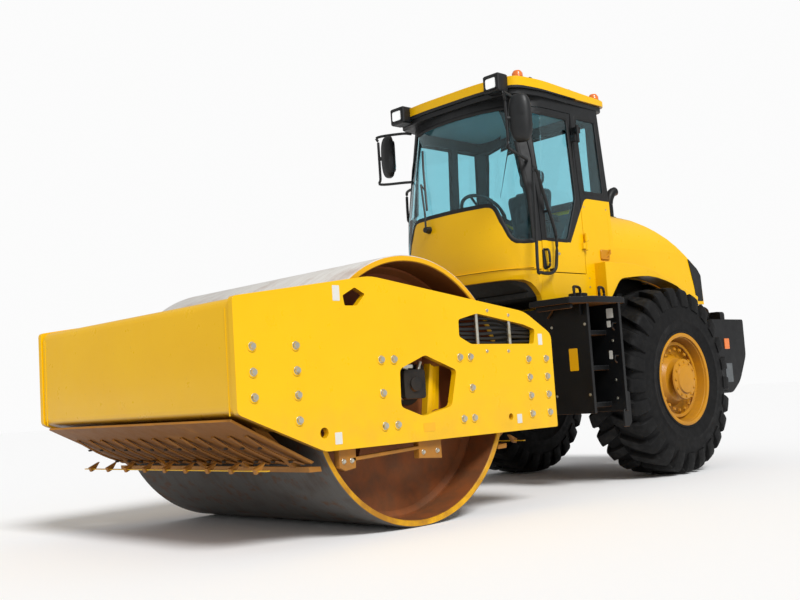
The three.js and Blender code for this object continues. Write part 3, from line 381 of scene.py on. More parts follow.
def grid(points, wrap_rows=False, wrap_columns=True, caps=False):
    """Faces between neighbouring points of a (rows, columns, 3) array, which join end to end where
    the array wraps; caps close the first and last rows with one face each."""
    rows, columns = points.shape[:2]
    r, c = np.meshgrid(np.arange(rows if wrap_rows else rows - 1),
                       np.arange(columns if wrap_columns else columns - 1), indexing="ij")
    r2, c2 = (r + 1) % rows, (c + 1) % columns
    corners = np.stack([r * columns + c, r * columns + c2, r2 * columns + c2, r2 * columns + c], -1)
    faces = corners.reshape(-1, 4).tolist()
    if caps:
        faces += [list(range(columns))[::-1], list(range((rows - 1) * columns, rows * columns))]
    return points.reshape(-1, 3), faces


def in_plane(axis, a, b, along):
    """Points whose first two coordinates lie across the axis and whose third lies along it."""
    first, second, third = AXES[axis]
    a, b, along = np.broadcast_arrays(a, b, along)
    points = np.empty((*a.shape, 3))
    points[..., first], points[..., second], points[..., third] = a, b, along
    return points


def rounded(corners, radius=0.0, steps=4):
    """Outline through corners, each replaced by a quadratic arc that starts radius before it."""
    corners = np.array(corners, float)
    before, after = np.roll(corners, 1, 0) - corners, np.roll(corners, -1, 0) - corners
    def pull(v):
        length = np.linalg.norm(v, axis=1, keepdims=True)
        return v / length * np.minimum(radius, 0.48 * length)
    if radius <= 0:
        return corners
    t = np.linspace(0, 1, steps)[None, :, None]
    start, end = (corners + pull(before))[:, None], (corners + pull(after))[:, None]
    arcs = (1 - t) ** 2 * start + 2 * t * (1 - t) * corners[:, None] + t ** 2 * end
    return arcs.reshape(-1, 2)


def rectangle(a0, a1, b0, b1, radius=0.0, steps=4):
    """Outline of a rectangle with rounded corners."""
    return rounded([(a0, b0), (a1, b0), (a1, b1), (a0, b1)], radius, steps)


def inset(outline, distance):
    """Outline moved inward by distance along the mean of its neighbouring edges' normals."""
    x, y = outline[:, 0], outline[:, 1]
    area = np.sum(x * np.roll(y, -1) - np.roll(x, -1) * y)
    edge = np.roll(outline, -1, 0) - outline
    edge /= np.maximum(np.linalg.norm(edge, axis=1, keepdims=True), 1e-9)
    normal = np.stack([-edge[:, 1], edge[:, 0]], 1) * np.sign(area)
    mean = normal + np.roll(normal, 1, 0)
    share = np.maximum(np.sum(mean * normal, 1, keepdims=True), 0.5)
    return outline + mean / share * distance


def slab(outline, axis, low, high, edge=0.003):
    """A flat plate: the outline carried along an axis from low to high, drawn in by edge at both
    ends so that its rims are chamfered."""
    edge = min(edge, abs(high - low) * 0.4)
    outline = np.array(outline, float)
    drawn_in = inset(outline, edge)
    rings = [(drawn_in, low), (outline, low + edge), (outline, high - edge), (drawn_in, high)]
    points = np.stack([in_plane(axis, ring[:, 0], ring[:, 1], at) for ring, at in rings])
    return grid(points, caps=True)


def block(low, high, edge=0.003, corner=0.0):
    """A box with chamfered rims and corners rounded in plan."""
    return slab(rectangle(low[0], high[0], low[1], high[1], corner), "Z", low[2], high[2], edge)


def turned(profile, centre, axis="X", facets=64, closed=True):
    """A body of revolution: each (axial, radius) point of the profile swept round the axis."""
    profile = np.array(profile, float)
    angle = np.linspace(0, 2 * math.pi, facets, endpoint=False)
    first, second, third = AXES[axis]
    ring = in_plane(axis, centre[first] + profile[:, 1, None] * np.cos(angle),
                    centre[second] + profile[:, 1, None] * np.sin(angle),
                    centre[third] + profile[:, 0, None])
    return grid(ring, wrap_rows=closed)


def smooth_path(points, steps):
    """Points along a Catmull-Rom curve through the given ones."""
    points = np.array(points, float)
    padded = np.vstack([2 * points[0] - points[1], points, 2 * points[-1] - points[-2]])
    t = np.linspace(0, len(points) - 1, steps * (len(points) - 1) + 1)
    i = np.minimum(t.astype(int), len(points) - 2)
    u = (t - i)[:, None]
    p0, p1, p2, p3 = (padded[i + k] for k in range(4))
    return 0.5 * (2 * p1 + (p2 - p0) * u + (2 * p0 - 5 * p1 + 4 * p2 - p3) * u ** 2
                  + (3 * p1 - p0 - 3 * p2 + p3) * u ** 3)


def tube(path, radius, sides=10, flat=1.0, up=(0, 0, 1), closed=False):
    """A section carried along a path: an ellipse of the given radius across, and flat times that
    radius toward up. The section's own axes follow from the path's direction and up."""
    path = np.array(path, float)
    if closed:
        along = np.roll(path, -1, 0) - np.roll(path, 1, 0)
    else:
        along = np.gradient(path, axis=0)
    along /= np.linalg.norm(along, axis=1, keepdims=True)
    up = np.broadcast_to(np.array(up, float), path.shape)
    across = np.cross(along, up)
    weak = np.linalg.norm(across, axis=1) < 0.1
    across[weak] = np.cross(along[weak], (1.0, 0.02, 0.0))
    across /= np.linalg.norm(across, axis=1, keepdims=True)
    lift = np.cross(across, along)
    angle = np.linspace(0, 2 * math.pi, sides, endpoint=False)
    ring = across[:, None] * np.cos(angle)[:, None] + lift[:, None] * np.sin(angle)[:, None] * flat
    return grid(path[:, None] + ring * radius, wrap_rows=closed, caps=not closed)


def bar(start, end, radius, sides=12):
    """A straight rod between two points."""
    return tube([start, end], radius, sides)


BOLT_RINGS = np.array([  # radius across the ring, height, 1 where the ring is a hexagon
    (1.25, 0.00, 0), (1.25, 0.14, 0), (1.18, 0.20, 0),
    (1.00, 0.20, 1), (1.00, 0.72, 1), (0.84, 0.86, 0)])


def bolts(places, axis, size):
    """Hexagon bolts on washers, all alike, at places; they stand along the axis, or against it where
    size is negative. A hexagon's radius is 1 / cos of the angle from its nearest flat."""
    angle = np.linspace(0, 2 * math.pi, 12, endpoint=False)
    flat_angle = (angle + math.pi / 6) % (math.pi / 3) - math.pi / 6
    hexagon = math.cos(math.pi / 6) / np.cos(flat_angle)
    radius = BOLT_RINGS[:, :1] * np.where(BOLT_RINGS[:, 2:] > 0, hexagon, 1.0) * abs(size)
    head = in_plane(axis, radius * np.cos(angle), radius * np.sin(angle), BOLT_RINGS[:, 1:2] * size)
    return [grid(head + np.array(place), caps=True) for place in places]


def mirrored(parts):
    """The parts with the sign of each point's x turned."""
    return [(points * (-1, 1, 1), faces) for points, faces in parts]


def both_sides(parts):
    """The parts and their mirror images in x."""
    return parts + mirrored(parts)


def side_name(side):
    """left for side 1, right for side -1."""
    return "left" if side > 0 else "right"


def sided(side):
    """A side's name, and the function that takes parts drawn on the left over to it."""
    return side_name(side), (list if side > 0 else mirrored)


def bolt_circle(count, x, radius, centre):
    """Places spread evenly round a circle that faces along x: the centre plus radius times the
    cosine and the sine of equal turns."""
    turn = np.linspace(0, 2 * math.pi, count, endpoint=False)
    return np.stack([np.full(count, x), centre[1] + radius * np.cos(turn),
                     centre[2] + radius * np.sin(turn)], 1)


def on_surface(node, points, direction):
    """The points moved along a direction until they meet a CAD node's surface."""
    mesh = NODES[node].data
    tree = BVHTree.FromPolygons([v.co for v in mesh.vertices], [p.vertices for p in mesh.polygons])
    hits = [tree.ray_cast(Vector(p), Vector(direction))[0] for p in points]
    return np.array([h for h in hits if h is not None])


def make(name, parts, body, material, sharp=35, replaces=()):
    """One mesh piece from (points, faces) parts, smooth except along edges sharper than an angle,
    riding on a body and standing for the CAD nodes that it replaces."""
    counts = np.cumsum([0] + [len(points) for points, _ in parts])
    points = np.vstack([points for points, _ in parts])
    faces = [[i + start for i in face] for (_, part), start in zip(parts, counts) for face in part]
    mesh = bpy.data.meshes.new(name)
    mesh.from_pydata(points, [], faces)
    shape = bmesh.new()
    shape.from_mesh(mesh)
    bmesh.ops.remove_doubles(shape, verts=shape.verts, dist=1e-6)
    bmesh.ops.recalc_face_normals(shape, faces=shape.faces)
    return finish_mesh(name, mesh, shape, body, material, sharp, replaces)


def finish_mesh(name, mesh, shape, body, material, sharp, replaces=()):
    """Writes the shape into the mesh and puts the piece on its body, smooth but for sharp edges."""
    shape.to_mesh(mesh)
    shape.free()
    mesh.polygons.foreach_set("use_smooth", np.ones(len(mesh.polygons), bool))
    mesh.set_sharp_from_angle(angle=math.radians(sharp))
    mesh.materials.append(material)
    piece = bpy.data.objects.new(name, mesh)
    bpy.context.scene.collection.objects.link(piece)
    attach(piece, body)
    if replaces:
        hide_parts(*replaces)
    return piece


def body_of(node):
    """The body that a CAD node rides on."""
    return next(body for body, names in frame["record"]["behaviour"]["bodies"].items() if node in names)


def dressed(node, material, edge_mm=4, segments=2, sharp=32, cuts=(), keep=None, tag="finished"):
    """A copy of a CAD node with its flat faces merged and its sharp edges rounded. Cuts are planes
    (point, normal) that part its faces, of which only those whose middle passes keep are left."""
    mesh = NODES[node].data.copy()
    mesh.materials.clear()
    shape = bmesh.new()
    shape.from_mesh(mesh)
    bmesh.ops.remove_doubles(shape, verts=shape.verts, dist=2e-5)
    bmesh.ops.dissolve_limit(shape, angle_limit=math.radians(1), verts=shape.verts, edges=shape.edges)
    for place, normal in cuts:
        everything = shape.verts[:] + shape.edges[:] + shape.faces[:]
        bmesh.ops.bisect_plane(shape, geom=everything, plane_co=place, plane_no=normal)
    if keep:
        spare = [face for face in shape.faces if not keep(face.calc_center_median())]
        bmesh.ops.delete(shape, geom=spare, context="FACES")
    piece = finish_mesh(f"{node}.{tag}", mesh, shape, body_of(node), material, sharp, [node])
    rounding = piece.modifiers.new("rounding", "BEVEL")
    rounding.width = edge_mm * MM
    rounding.segments = segments
    rounding.limit_method = "ANGLE"
    rounding.angle_limit = math.radians(sharp)
    rounding.harden_normals = True
    return piece


# ---- camera, lights and floor -------------------------------------------------------------------
CAMERA_PLACE = (5.505, -5.986, 0.786)
CAMERA_TURNS = (135.9, 5.31, -3.72)  # heading, pitch and roll in degrees
LENS_MM = 46.15
SKY_LIGHT, SKY_SEEN = 0.45, 0.97
KEY_FROM, KEY_STRENGTH, KEY_SPREAD = (9.0, -2.6, 9.5), 2.5, 20


def set_stage():
    """A pale floor under even sky light and one soft distant lamp, with a low camera at the
    front left."""
    scene = bpy.context.scene
    scene.view_settings.view_transform = "Standard"
    camera = bpy.data.objects.new("camera", bpy.data.cameras.new("camera"))
    scene.collection.objects.link(camera)
    scene.camera = camera
    camera.data.lens = LENS_MM
    heading, pitch, roll = (math.radians(a) for a in CAMERA_TURNS)
    ahead = Vector((math.cos(pitch) * math.cos(heading), math.cos(pitch) * math.sin(heading),
                    math.sin(pitch)))
    level = ahead.cross(Vector((0, 0, 1))).normalized()
    upright = level.cross(ahead)
    right = level * math.cos(roll) + upright * math.sin(roll)
    top = upright * math.cos(roll) - level * math.sin(roll)
    turn = Matrix((right, top, -ahead)).transposed()
    camera.matrix_world = Matrix.Translation(CAMERA_PLACE) @ turn.to_4x4()

    floor_mesh = bpy.data.meshes.new("floor")
    points, faces = block((-60, -60, -0.02), (60, 60, -0.0005), 0.001)
    floor_mesh.from_pydata(points, [], faces)
    floor = bpy.data.objects.new("floor", floor_mesh)
    scene.collection.objects.link(floor)
    stone = bpy.data.materials.new("pale_floor")
    stone.use_nodes = True
    tree = stone.node_tree
    shader = tree.nodes["Principled BSDF"]
    shader.inputs["Base Color"].default_value = (0.97, 0.97, 0.97, 1)
    shader.inputs["Roughness"].default_value = 0.9
    floor_mesh.materials.append(stone)

    world = bpy.data.worlds.new("sky")
    scene.world = world
    world.use_nodes = True
    tree = world.node_tree
    tree.nodes.clear()
    lit = add_node(tree, "Background", {"Color": (1, 1, 1, 1), "Strength": SKY_LIGHT})
    seen = add_node(tree, "Background", {"Color": (1, 1, 1, 1), "Strength": SKY_SEEN})
    path = add_node(tree, "LightPath")
    either = add_node(tree, "Math", {
        0: path.outputs["Is Camera Ray"], 1: path.outputs["Is Transmission Ray"]}, operation="MAXIMUM")
    mix = add_node(tree, "MixShader", {
        0: either.outputs[0], 1: lit.outputs[0], 2: seen.outputs[0]})
    add_node(tree, "OutputWorld", {"Surface": mix.outputs[0]})

    def distant_lamp(name, place, strength, spread):
        """Even light from the direction of place; spread is the angle it fills, for soft shadows."""
        lamp = bpy.data.objects.new(name, bpy.data.lights.new(name, "SUN"))
        lamp.data.energy = strength
        lamp.data.angle = math.radians(spread)
        lamp.rotation_mode = "QUATERNION"
        lamp.rotation_quaternion = (-Vector(place)).to_track_quat("-Z", "Y")
        scene.collection.objects.link(lamp)

    distant_lamp("key_lamp", KEY_FROM, KEY_STRENGTH, KEY_SPREAD)


set_stage()

# ---- painted steelwork that keeps the frame's shape -----------------------------------------------
for node in ("side_plate_left", "side_plate_right", "rear_crossbeam"):
    dressed(node, YELLOW, 5)
# the front beam's lower front corner is taken off on the slope of the scraper apron below it
APRON_TOP = Vector((0, BEAM_LOW[1], 0.716))
APRON_SLOPE = Vector((0, 0.272, 0.529)).normalized()
dressed("front_crossbeam", YELLOW, 5, cuts=((APRON_TOP, APRON_SLOPE),),
        keep=lambda p: (p - APRON_TOP).dot(APRON_SLOPE) > 0, tag="above_apron")
# finish, rounding of the edges in millimetres, and the nodes that take it
FINISHES = (
    (YELLOW, 2.5, ("cab_nose", "cab_side_left", "cab_side_right", "cab_back")),
    (YELLOW, 6, ("engine_hood", "fender_left", "fender_right")),
    # the drum heads and mounts: ochre darkened to brown by painted shade
    (SHADED_OCHRE, 3, ("drum_head_left", "drum_head_right", "drum_mount_left", "drum_mount_right")),
    (BRACKET, 3, ("front_scraper", "rear_scraper")),
    (BLACK, 4, ("rear_chassis", "step_box_left", "step_box_right", "counterweight", "rear_axle")),
    (PLASTIC, 3, ("cab_frame", "roof_liner")),
    (CASTING, 5, ("hinge_link", "hub_motor", "engine_block")),
    (BLACK, 2, ("steer_barrel_left", "steer_barrel_right")),
    (RUBBER, 3, ("cab_floor", "seat_base")),
    (CHROME, 1, ("steer_rod_left", "steer_rod_right")))
for finish, edge_mm, nodes in FINISHES:
    for node in nodes:
        dressed(node, finish, edge_mm)
for node in PANES:
    dressed(node, PANE, 1, 1)


# ---- drum ---------------------------------------------------------------------------------------
def drum_shell():
    """The rolled shell: a closed ring section turned round the axle, its rims rounded, and the
    paint on its ends: ochre with painted shade outboard of each head, scuffed yellow on each rim's end
    face."""
    half, inner = DRUM_HIGH[0], DRUM_R - DRUM_WALL
    section = [(-half + 0.006, DRUM_R), (half - 0.006, DRUM_R), (half - 0.002, DRUM_R - 0.002),
               (half, DRUM_R - 0.007), (half, inner + 0.005), (half - 0.005, inner),
               (-half + 0.005, inner), (-half, inner + 0.005), (-half, DRUM_R - 0.007),
               (-half + 0.002, DRUM_R - 0.002)]
    make("drum.shell", [turned(section, AXLE, facets=192)], "drum", DRUM_STEEL, replaces=["drum_shell"])
    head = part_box("drum_head_left")[0][0]
    for side in (-1, 1):
        hand = side_name(side)
        band = [(side * (head + 0.04), inner - 0.0015), (side * (half - 0.004), inner - 0.0015),
                (side * (half - 0.004), inner - 0.0035), (side * (head + 0.04), inner - 0.0035)]
        rim = [(side * (half - 0.006), inner - 0.0040), (side * (half + 0.0012), inner + 0.002),
               (side * (half + 0.0012), DRUM_R - 0.006), (side * (half - 0.002), DRUM_R - 0.0045),
               (side * (half - 0.006), inner + 0.010)]
        # the band inside the shell: ochre darkened to brown by painted shade
        make(f"drum.inner_paint_{hand}", [turned(band, AXLE, facets=192)], "drum", SHADED_OCHRE)
        make(f"drum.rim_paint_{hand}", [turned(rim, AXLE, facets=192)], "drum", RIM_PAINT)


drum_shell()


def drum_head_details(side):
    """Hub flange with its ring of bolts, and a stiffening ring where the head meets the shell."""
    name = side_name(side)
    face = span("drum_head_left")[0][0] + 0.036
    hub = [(side * (face + 0.001), 0.30), (side * (face + 0.012), 0.295), (side * (face + 0.012), 0.19),
           (side * (face + 0.001), 0.185)]
    inner = DRUM_R - DRUM_WALL - 0.0015
    ring = [(side * (face + 0.001), inner), (side * (face + 0.03), inner),
            (side * (face + 0.03), inner - 0.014), (side * (face + 0.001), inner - 0.045)]
    # hub flange and stiffening ring: ochre darkened to brown by painted shade
    make(f"drum.head_rings_{name}", [turned(hub, AXLE), turned(ring, AXLE, facets=128)], "drum", SHADED_OCHRE)
    places = bolt_circle(12, side * (face + 0.012), 0.245, AXLE)
    make(f"drum.head_bolts_{name}", bolts(places, "X", side * 0.016), "drum", BOLT_STEEL)


for hand in (1, -1):
    drum_head_details(hand)

# ---- yoke ---------------------------------------------------------------------------------------
# Bolt columns on a side plate: distance behind the drum axle, then heights, in millimetres.
LARGE_BOLTS = {-1245: (1091, 956, 824), -958: (1091, 956, 824, 688), -337: (1001, 807, 618),
               -235: (1001, 618), 333: (1001, 618), 430: (1001, 807, 618),
               1006: (975, 854, 732, 611), 1195: (975, 854, 732, 611)}
SMALL_BOLTS = {622: (1297,), 830: (1268,), 595: (1034,), 807: (1031,)}
# Blank plates: distance behind the axle, height, half width, half height, in millimetres.
PLATE_SIGNS = ((-652, 1382, 26, 44), (-692, 573, 26, 33), (1147, 1105, 22, 38), (871, 585, 24, 30))


def plate_places(columns):
    """Points on the left side plate's outer face, from columns of heights."""
    return np.array([(PLATE_HIGH[0], AXLE[1] + y * MM, z * MM) for y, heights in columns.items()
                     for z in heights])


def side_plate_fittings(side):
    """Bolts on round pads, and blank plates, on a side plate's outer face."""
    name, flip = sided(side)
    x = PLATE_HIGH[0]
    heads = bolts(plate_places(LARGE_BOLTS), "X", 0.0195)
    small = bolts(plate_places(SMALL_BOLTS), "X", 0.009)
    pads = [turned([(x, 0.0), (x, 0.034), (x + 0.0035, 0.031),
                    (x + 0.0035, 0.0)], (0, y, z), closed=False, facets=24)
            for _, y, z in plate_places(LARGE_BOLTS)]
    signs = [slab(rectangle(AXLE[1] + (y - w) * MM, AXLE[1] + (y + w) * MM,
                            (z - h) * MM, (z + h) * MM, 0.004),
                  "X", x, x + 0.0015, 0.0004) for y, z, w, h in PLATE_SIGNS]
    caution = [slab(rectangle(AXLE[1] - 0.025, AXLE[1] + 0.075, 0.560, 0.612, 0.004), "X",
                    x, x + 0.0015, 0.0004)]
    make(f"yoke.bolts_{name}", flip(heads + small), "front_frame", BOLT_STEEL)
    make(f"yoke.bolt_pads_{name}", flip(pads), "front_frame", YELLOW)
    make(f"yoke.blank_plates_{name}", flip(signs), "front_frame", WHITE_PLATE)
    make(f"yoke.blank_caution_{name}", flip(caution), "front_frame", SIGNAL_PLATE)


def motor_window(side):
    """What shows through the six-sided window: coupling, fittings, ribs and hose ends."""
    name, flip = sided(side)
    y, z = AXLE[1], AXLE[2]
    ribs = [slab([(y + 0.115 + k * 0.055, z - 0.19), (y + 0.15 + k * 0.055, z - 0.19),
                  (y + 0.21 + k * 0.045, z + 0.16), (y + 0.175 + k * 0.045, z + 0.16)], "X", 0.976,
                 1.03 - k * 0.02)
            for k in range(3)]
    flange = turned([(0.976, 0.13), (0.996, 0.13), (1.0, 0.125), (1.0, 0.0), (0.976, 0.0)],
                    (0, y - 0.01, z + 0.03), closed=False, facets=48)
    make(f"yoke.window_ribs_{name}", flip(ribs), "front_frame", YELLOW)
    shroud = slab(rectangle(y - 0.17, y + 0.13, z - 0.02, z + 0.15, 0.03), "X", 1.004, 1.02, 0.004)
    make(f"yoke.coupling_{name}", flip([flange, shroud]), "front_frame", CASTING)
    unions = [bar((1.02, y - 0.13, z + dz), (1.02, y - 0.07, z + dz), 0.014)
              for dz in (0.11, 0.06, -0.05)]
    unions += [slab(rectangle(y - 0.10, y - 0.02, z + 0.125, z + 0.150, 0.006), "X", 1.02, 1.075,
                    0.003),
               bar((1.05, y - 0.06, z + 0.12), (1.05, y - 0.05, z + 0.185), 0.015),
               bar((1.04, y + 0.045, z + 0.10), (1.04, y + 0.075, z + 0.165), 0.014)]
    make(f"yoke.unions_{name}", flip(unions), "front_frame", BOLT_STEEL)
    hoses = [tube(smooth_path([(1.02, y - 0.125, z + dz), (1.03, y - 0.18, z + dz + 0.03),
                               (1.03, y - 0.24, z + dz * 0.6 + 0.17),
                               (1.03, y - 0.30, z + 0.36 + dz * 0.3)], 8), 0.012)
             for dz in (0.11, 0.06, -0.05)]
    make(f"yoke.motor_lines_{name}", flip(hoses), "front_frame", RUBBER)


def hose_window(side):
    """Two clamp bars and the bundle of hydraulic lines behind the long window."""
    name, flip = sided(side)
    middle = (PLATE_LOW[0] + PLATE_HIGH[0]) / 2
    bars = [bar((middle, AXLE[1] + y, low), (middle, AXLE[1] + y, high), 0.0125, 20)
            for y, low, high in ((0.532, 1.078, 1.277), (0.85, 1.075, 1.228))]
    make(f"yoke.clamp_bars_{name}", flip(bars), "front_frame", BOLT_STEEL)
    x = PLATE_LOW[0] - 0.0135
    y = AXLE[1] + np.array([0.29, 0.48, 0.62, 0.78, 0.93, 1.16])
    lines = []
    for k in range(6):
        z = 1.092 + 0.031 * k + 0.006 * np.sin(np.arange(6) * 1.7 + k)
        drop = 0.05 * (k > 3) * (y > AXLE[1] + 0.9)
        lines.append(tube(smooth_path(np.stack([x + 0 * y, y, z - drop], 1), 6), 0.0115))
    make(f"yoke.hydraulic_lines_{name}", flip(lines), "front_frame", RUBBER)


for hand in (1, -1):
    side_plate_fittings(hand)
    motor_window(hand)
    hose_window(hand)


def under_brackets():
    """Brackets hung from the foot of each side plate, with their bolts and the bar between them."""
    x0, x1 = PLATE_LOW[0] - 0.05, PLATE_LOW[0] - 0.002
    y = AXLE[1]
    parts = [slab([(y - 0.66, 0.56), (y - 0.66, 0.405), (y - 0.62, 0.385), (y - 0.54, 0.395),
                   (y - 0.53, 0.56)], "X", x0, x1),
             slab([(y - 0.035, 0.56), (y - 0.035, 0.405), (y + 0.16, 0.39), (y + 0.16, 0.56)], "X", x0,
                  x1),
             slab([(y - 0.575, 0.456), (y - 0.03, 0.48), (y - 0.03, 0.458), (y - 0.575, 0.434)], "X",
                  x0 + 0.01, x1)]
    make("yoke.foot_brackets", both_sides(parts), "front_frame", BRACKET)
    places = [(x1, y - 0.63, 0.44), (x1, y - 0.57, 0.44), (x1, y, 0.44), (x1, y + 0.12, 0.44)]
    make("yoke.foot_bolts", both_sides(bolts(places, "X", 0.012)), "front_frame", BOLT_STEEL)


def scraper_fingers(sign):
    """Short clamp ribs and a lip, in line with the scraper bar but set off the outer edge of its
    hangers, so that they stand clear of the bar; in front, also the sloping apron and a row of flat
    spring arms under it, each bowed by a half sine."""
    name = "front" if sign < 0 else "rear"
    low, high = span(f"{name}_scraper")
    outer = low[1] if sign < 0 else high[1]
    bar_z = low[2] + 0.028
    ribs = []
    for x in np.linspace(-0.93, 0.93, 9):
        y = outer - sign * 0.045
        ribs.append(slab([(y + sign * 0.012, bar_z + 0.003), (y + sign * 0.04, bar_z - 0.01),
                          (y + sign * 0.052, bar_z + 0.018), (y - sign * 0.02, bar_z + 0.05)], "X",
                         x - 0.016, x + 0.016))
    make(f"scraper.ribs_{name}", ribs, "front_frame", BRACKET)
    lip = slab(rectangle(outer - sign * 0.030, outer - sign * 0.010, bar_z + 0.004, bar_z + 0.010), "X",
               -1.03, 1.03, 0.002)
    make(f"scraper.lip_{name}", [lip], "front_frame", YELLOW)
    if sign > 0:
        return
    top = np.array(APRON_TOP)[1:] + (0.004, -0.008)
    foot = np.array([high[1] - 0.075, bar_z + 0.020])
    apron = slab([tuple(top), tuple(top + (0.01, 0.012)), tuple(foot + (0.02, 0.010)), tuple(foot)],
                 "X", -1.05, 1.05, 0.003)
    make("scraper.apron", [apron], "front_frame", BRACKET)
    arms, heads = [], []
    t = np.linspace(0.30, 0.97, 9)
    bow = 0.020 * np.sin((t - 0.30) * math.pi / 0.67)
    line = top + (foot - top) * t[:, None] - np.outer(bow, (0.0, 1.0)) - (0, 0.006)
    for x in np.linspace(-0.96, 0.96, 13):
        path = np.stack([x + 0.05 * (t - 0.3), line[:, 0], line[:, 1]], 1)
        arms.append(tube(path, 0.017, 8, 0.4, up=(0, 0, 1)))
        heads += [(x + 0.035 * k, line[j, 0], line[j, 1] - 0.006) for k, j in ((0, 2), (1, 6))]
    make("scraper.spring_arms", arms, "front_frame", BRACKET)
    make("scraper.arm_bolts", bolts(heads, "Z", -0.013), "front_frame", CASTING)


def beam_welds():
    """A dressed weld down each end of the front beam, where it meets its side plate."""
    x, y = BEAM_HIGH[0] - 0.042, BEAM_LOW[1] + 0.001
    weld = tube([(x, y, APRON_TOP.z + 0.02), (x, y, BEAM_HIGH[2] - 0.090)], 0.0045, 8, 0.8)
    make("yoke.beam_welds", both_sides([weld]), "front_frame", YELLOW)


under_brackets()
beam_welds()
for hand in (-1, 1):
    scraper_fingers(hand)

# ---- tyres and wheels ---------------------------------------------------------------------------
TYRE_HALF = (TYRE_HIGH[0] - TYRE_LOW[0]) / 2
LUG_DEPTH = 0.046
LUGS = 25


def tread_line(s):
    """Axial distance and radius of the lug tops at share s of the way from the tyre's middle over its
    shoulder: a slightly crowned run out to the shoulder, then a quarter ellipse down the side."""
    flat = TYRE_HALF - 0.055
    run = np.clip(s / 0.62, 0, 1)
    turn = np.clip((s - 0.62) / 0.38, 0, 1) * math.pi / 2
    axial = flat * run + 0.052 * np.sin(turn)
    radius = TYRE_R - 0.012 * run ** 2 - 0.155 * (1 - np.cos(turn))
    return axial, radius


def lug(angle, side):
    """One tread bar: a raised strip that leans back as it runs from the middle to the shoulder, then
    down the side wall, its height falling to nothing at the foot."""
    s = np.linspace(0.0, 1.0, 15)
    axial, radius = tread_line(s)
    out = np.gradient(np.stack([axial, radius], 1), axis=0)
    out /= np.linalg.norm(out, axis=1, keepdims=True)
    normal = np.stack([-out[:, 1], out[:, 0]], 1)
    depth = LUG_DEPTH * (1 - 0.75 * np.clip((s - 0.7) / 0.3, 0, 1))
    lean = 0.155 * (s / 0.62) ** 0.9
    lean = np.where(s > 0.62, 0.155 + 0.05 * (s - 0.62), lean)
    wide = 0.052 + 0.024 * np.clip(s / 0.62, 0, 1)
    columns = [(-1.12, 1.25), (-1.0, 0.18), (-0.88, 0.0), (0.0, -0.02), (0.88, 0.0), (1.0, 0.18),
               (1.12, 1.25)]
    rows = []
    for share, sink in columns:
        at = np.stack([axial, radius], 1) - normal * (depth * sink)[:, None]
        turn = angle + lean + share * wide
        rows.append(np.stack([side * at[:, 0], at[:, 1] * np.cos(turn), at[:, 1] * np.sin(turn)], 1))
    return grid(np.stack(rows, 1), wrap_columns=False, caps=True)


def tyre(side):
    """Carcass turned from one closed section with raised rings on its side walls, and two rows of
    leaning tread bars set half a pitch apart."""
    base = TYRE_R - LUG_DEPTH
    bead = RIM_R + 0.0008
    inward = [(0.028, bead), (0.012, bead + 0.018), (0.010, bead + 0.030), (0.017, bead + 0.036),
              (0.006, bead + 0.075), (0.001, bead + 0.110), (-0.002, bead + 0.114),
              (-0.002, bead + 0.124), (0.001, bead + 0.129), (0.002, bead + 0.165),
              (0.006, base - 0.165), (0.012, base - 0.125), (0.026, base - 0.075),
              (0.046, base - 0.036), (0.075, base - 0.010), (0.110, base)]
    wall = [(TYRE_HALF - depth, radius) for depth, radius in inward] + [(0.0, base + 0.005)]
    section = wall + [(-x, r) for x, r in wall[-2::-1]]
    carcass = turned(section, (0, 0, 0), facets=144)
    pitch = 2 * math.pi / LUGS
    bars = [lug(k * pitch + (0.5 * pitch if hand < 0 else 0.0), hand) for k in range(LUGS)
            for hand in (-1, 1)]
    centre = WHEEL * (side, 1, 1)
    parts = [(points * (side, 1, 1) + centre, faces) for points, faces in [carcass] + bars]
    name = side_name(side)
    make(f"tyre.carcass_{name}", parts, f"wheel_{name}", TYRE, 40, replaces=[f"tyre_{name}"])


def wheel_fittings(side):
    """Rim flange bead, lock ring, hub cover with its bolts, and wheel nuts."""
    name, flip = sided(side)
    centre = WHEEL * (side, 1, 1)
    outer = TYRE_HIGH[0] - 0.020
    flange = [(outer - 0.012, RIM_R - 0.020), (outer + 0.004, RIM_R - 0.016),
              (outer + 0.010, RIM_R + 0.004),
              (outer + 0.006, RIM_R + 0.014), (outer - 0.004, RIM_R + 0.012), (outer - 0.012, RIM_R)]
    disc = RIM_HIGH[0]
    cover = [(disc - 0.001, 0.168), (disc + 0.010, 0.162), (disc + 0.014, 0.120), (disc + 0.026, 0.112),
             (disc + 0.030, 0.060), (disc + 0.030, 0.0)]
    axial = disc - 0.070
    recess = [(axial + 0.001, RIM_R - 0.052), (axial + 0.008, RIM_R - 0.056),
              (axial + 0.008, RIM_R - 0.078),
              (axial + 0.001, RIM_R - 0.082)]
    at = (0, centre[1], centre[2])
    rings = [turned(flange, at, facets=96), turned(recess, at, facets=96),
             turned(cover, at, facets=64, closed=False)]
    nuts = bolts(bolt_circle(20, axial + 0.001, 0.250, centre), "X", 0.0135)
    nuts += bolts(bolt_circle(12, disc + 0.013, 0.141, centre), "X", 0.009)
    make(f"wheel.rings_{name}", flip(rings), f"wheel_{name}", OCHRE)
    make(f"wheel.nuts_{name}", flip(nuts), f"wheel_{name}", OCHRE)


for hand in (1, -1):
    tyre(hand)
    wheel_fittings(hand)
    dressed(f"rim_{side_name(hand)}", OCHRE, 4)

# ---- steps and decks ----------------------------------------------------------------------------
STEP_Y0 = STEP_LOW[1] + 0.20


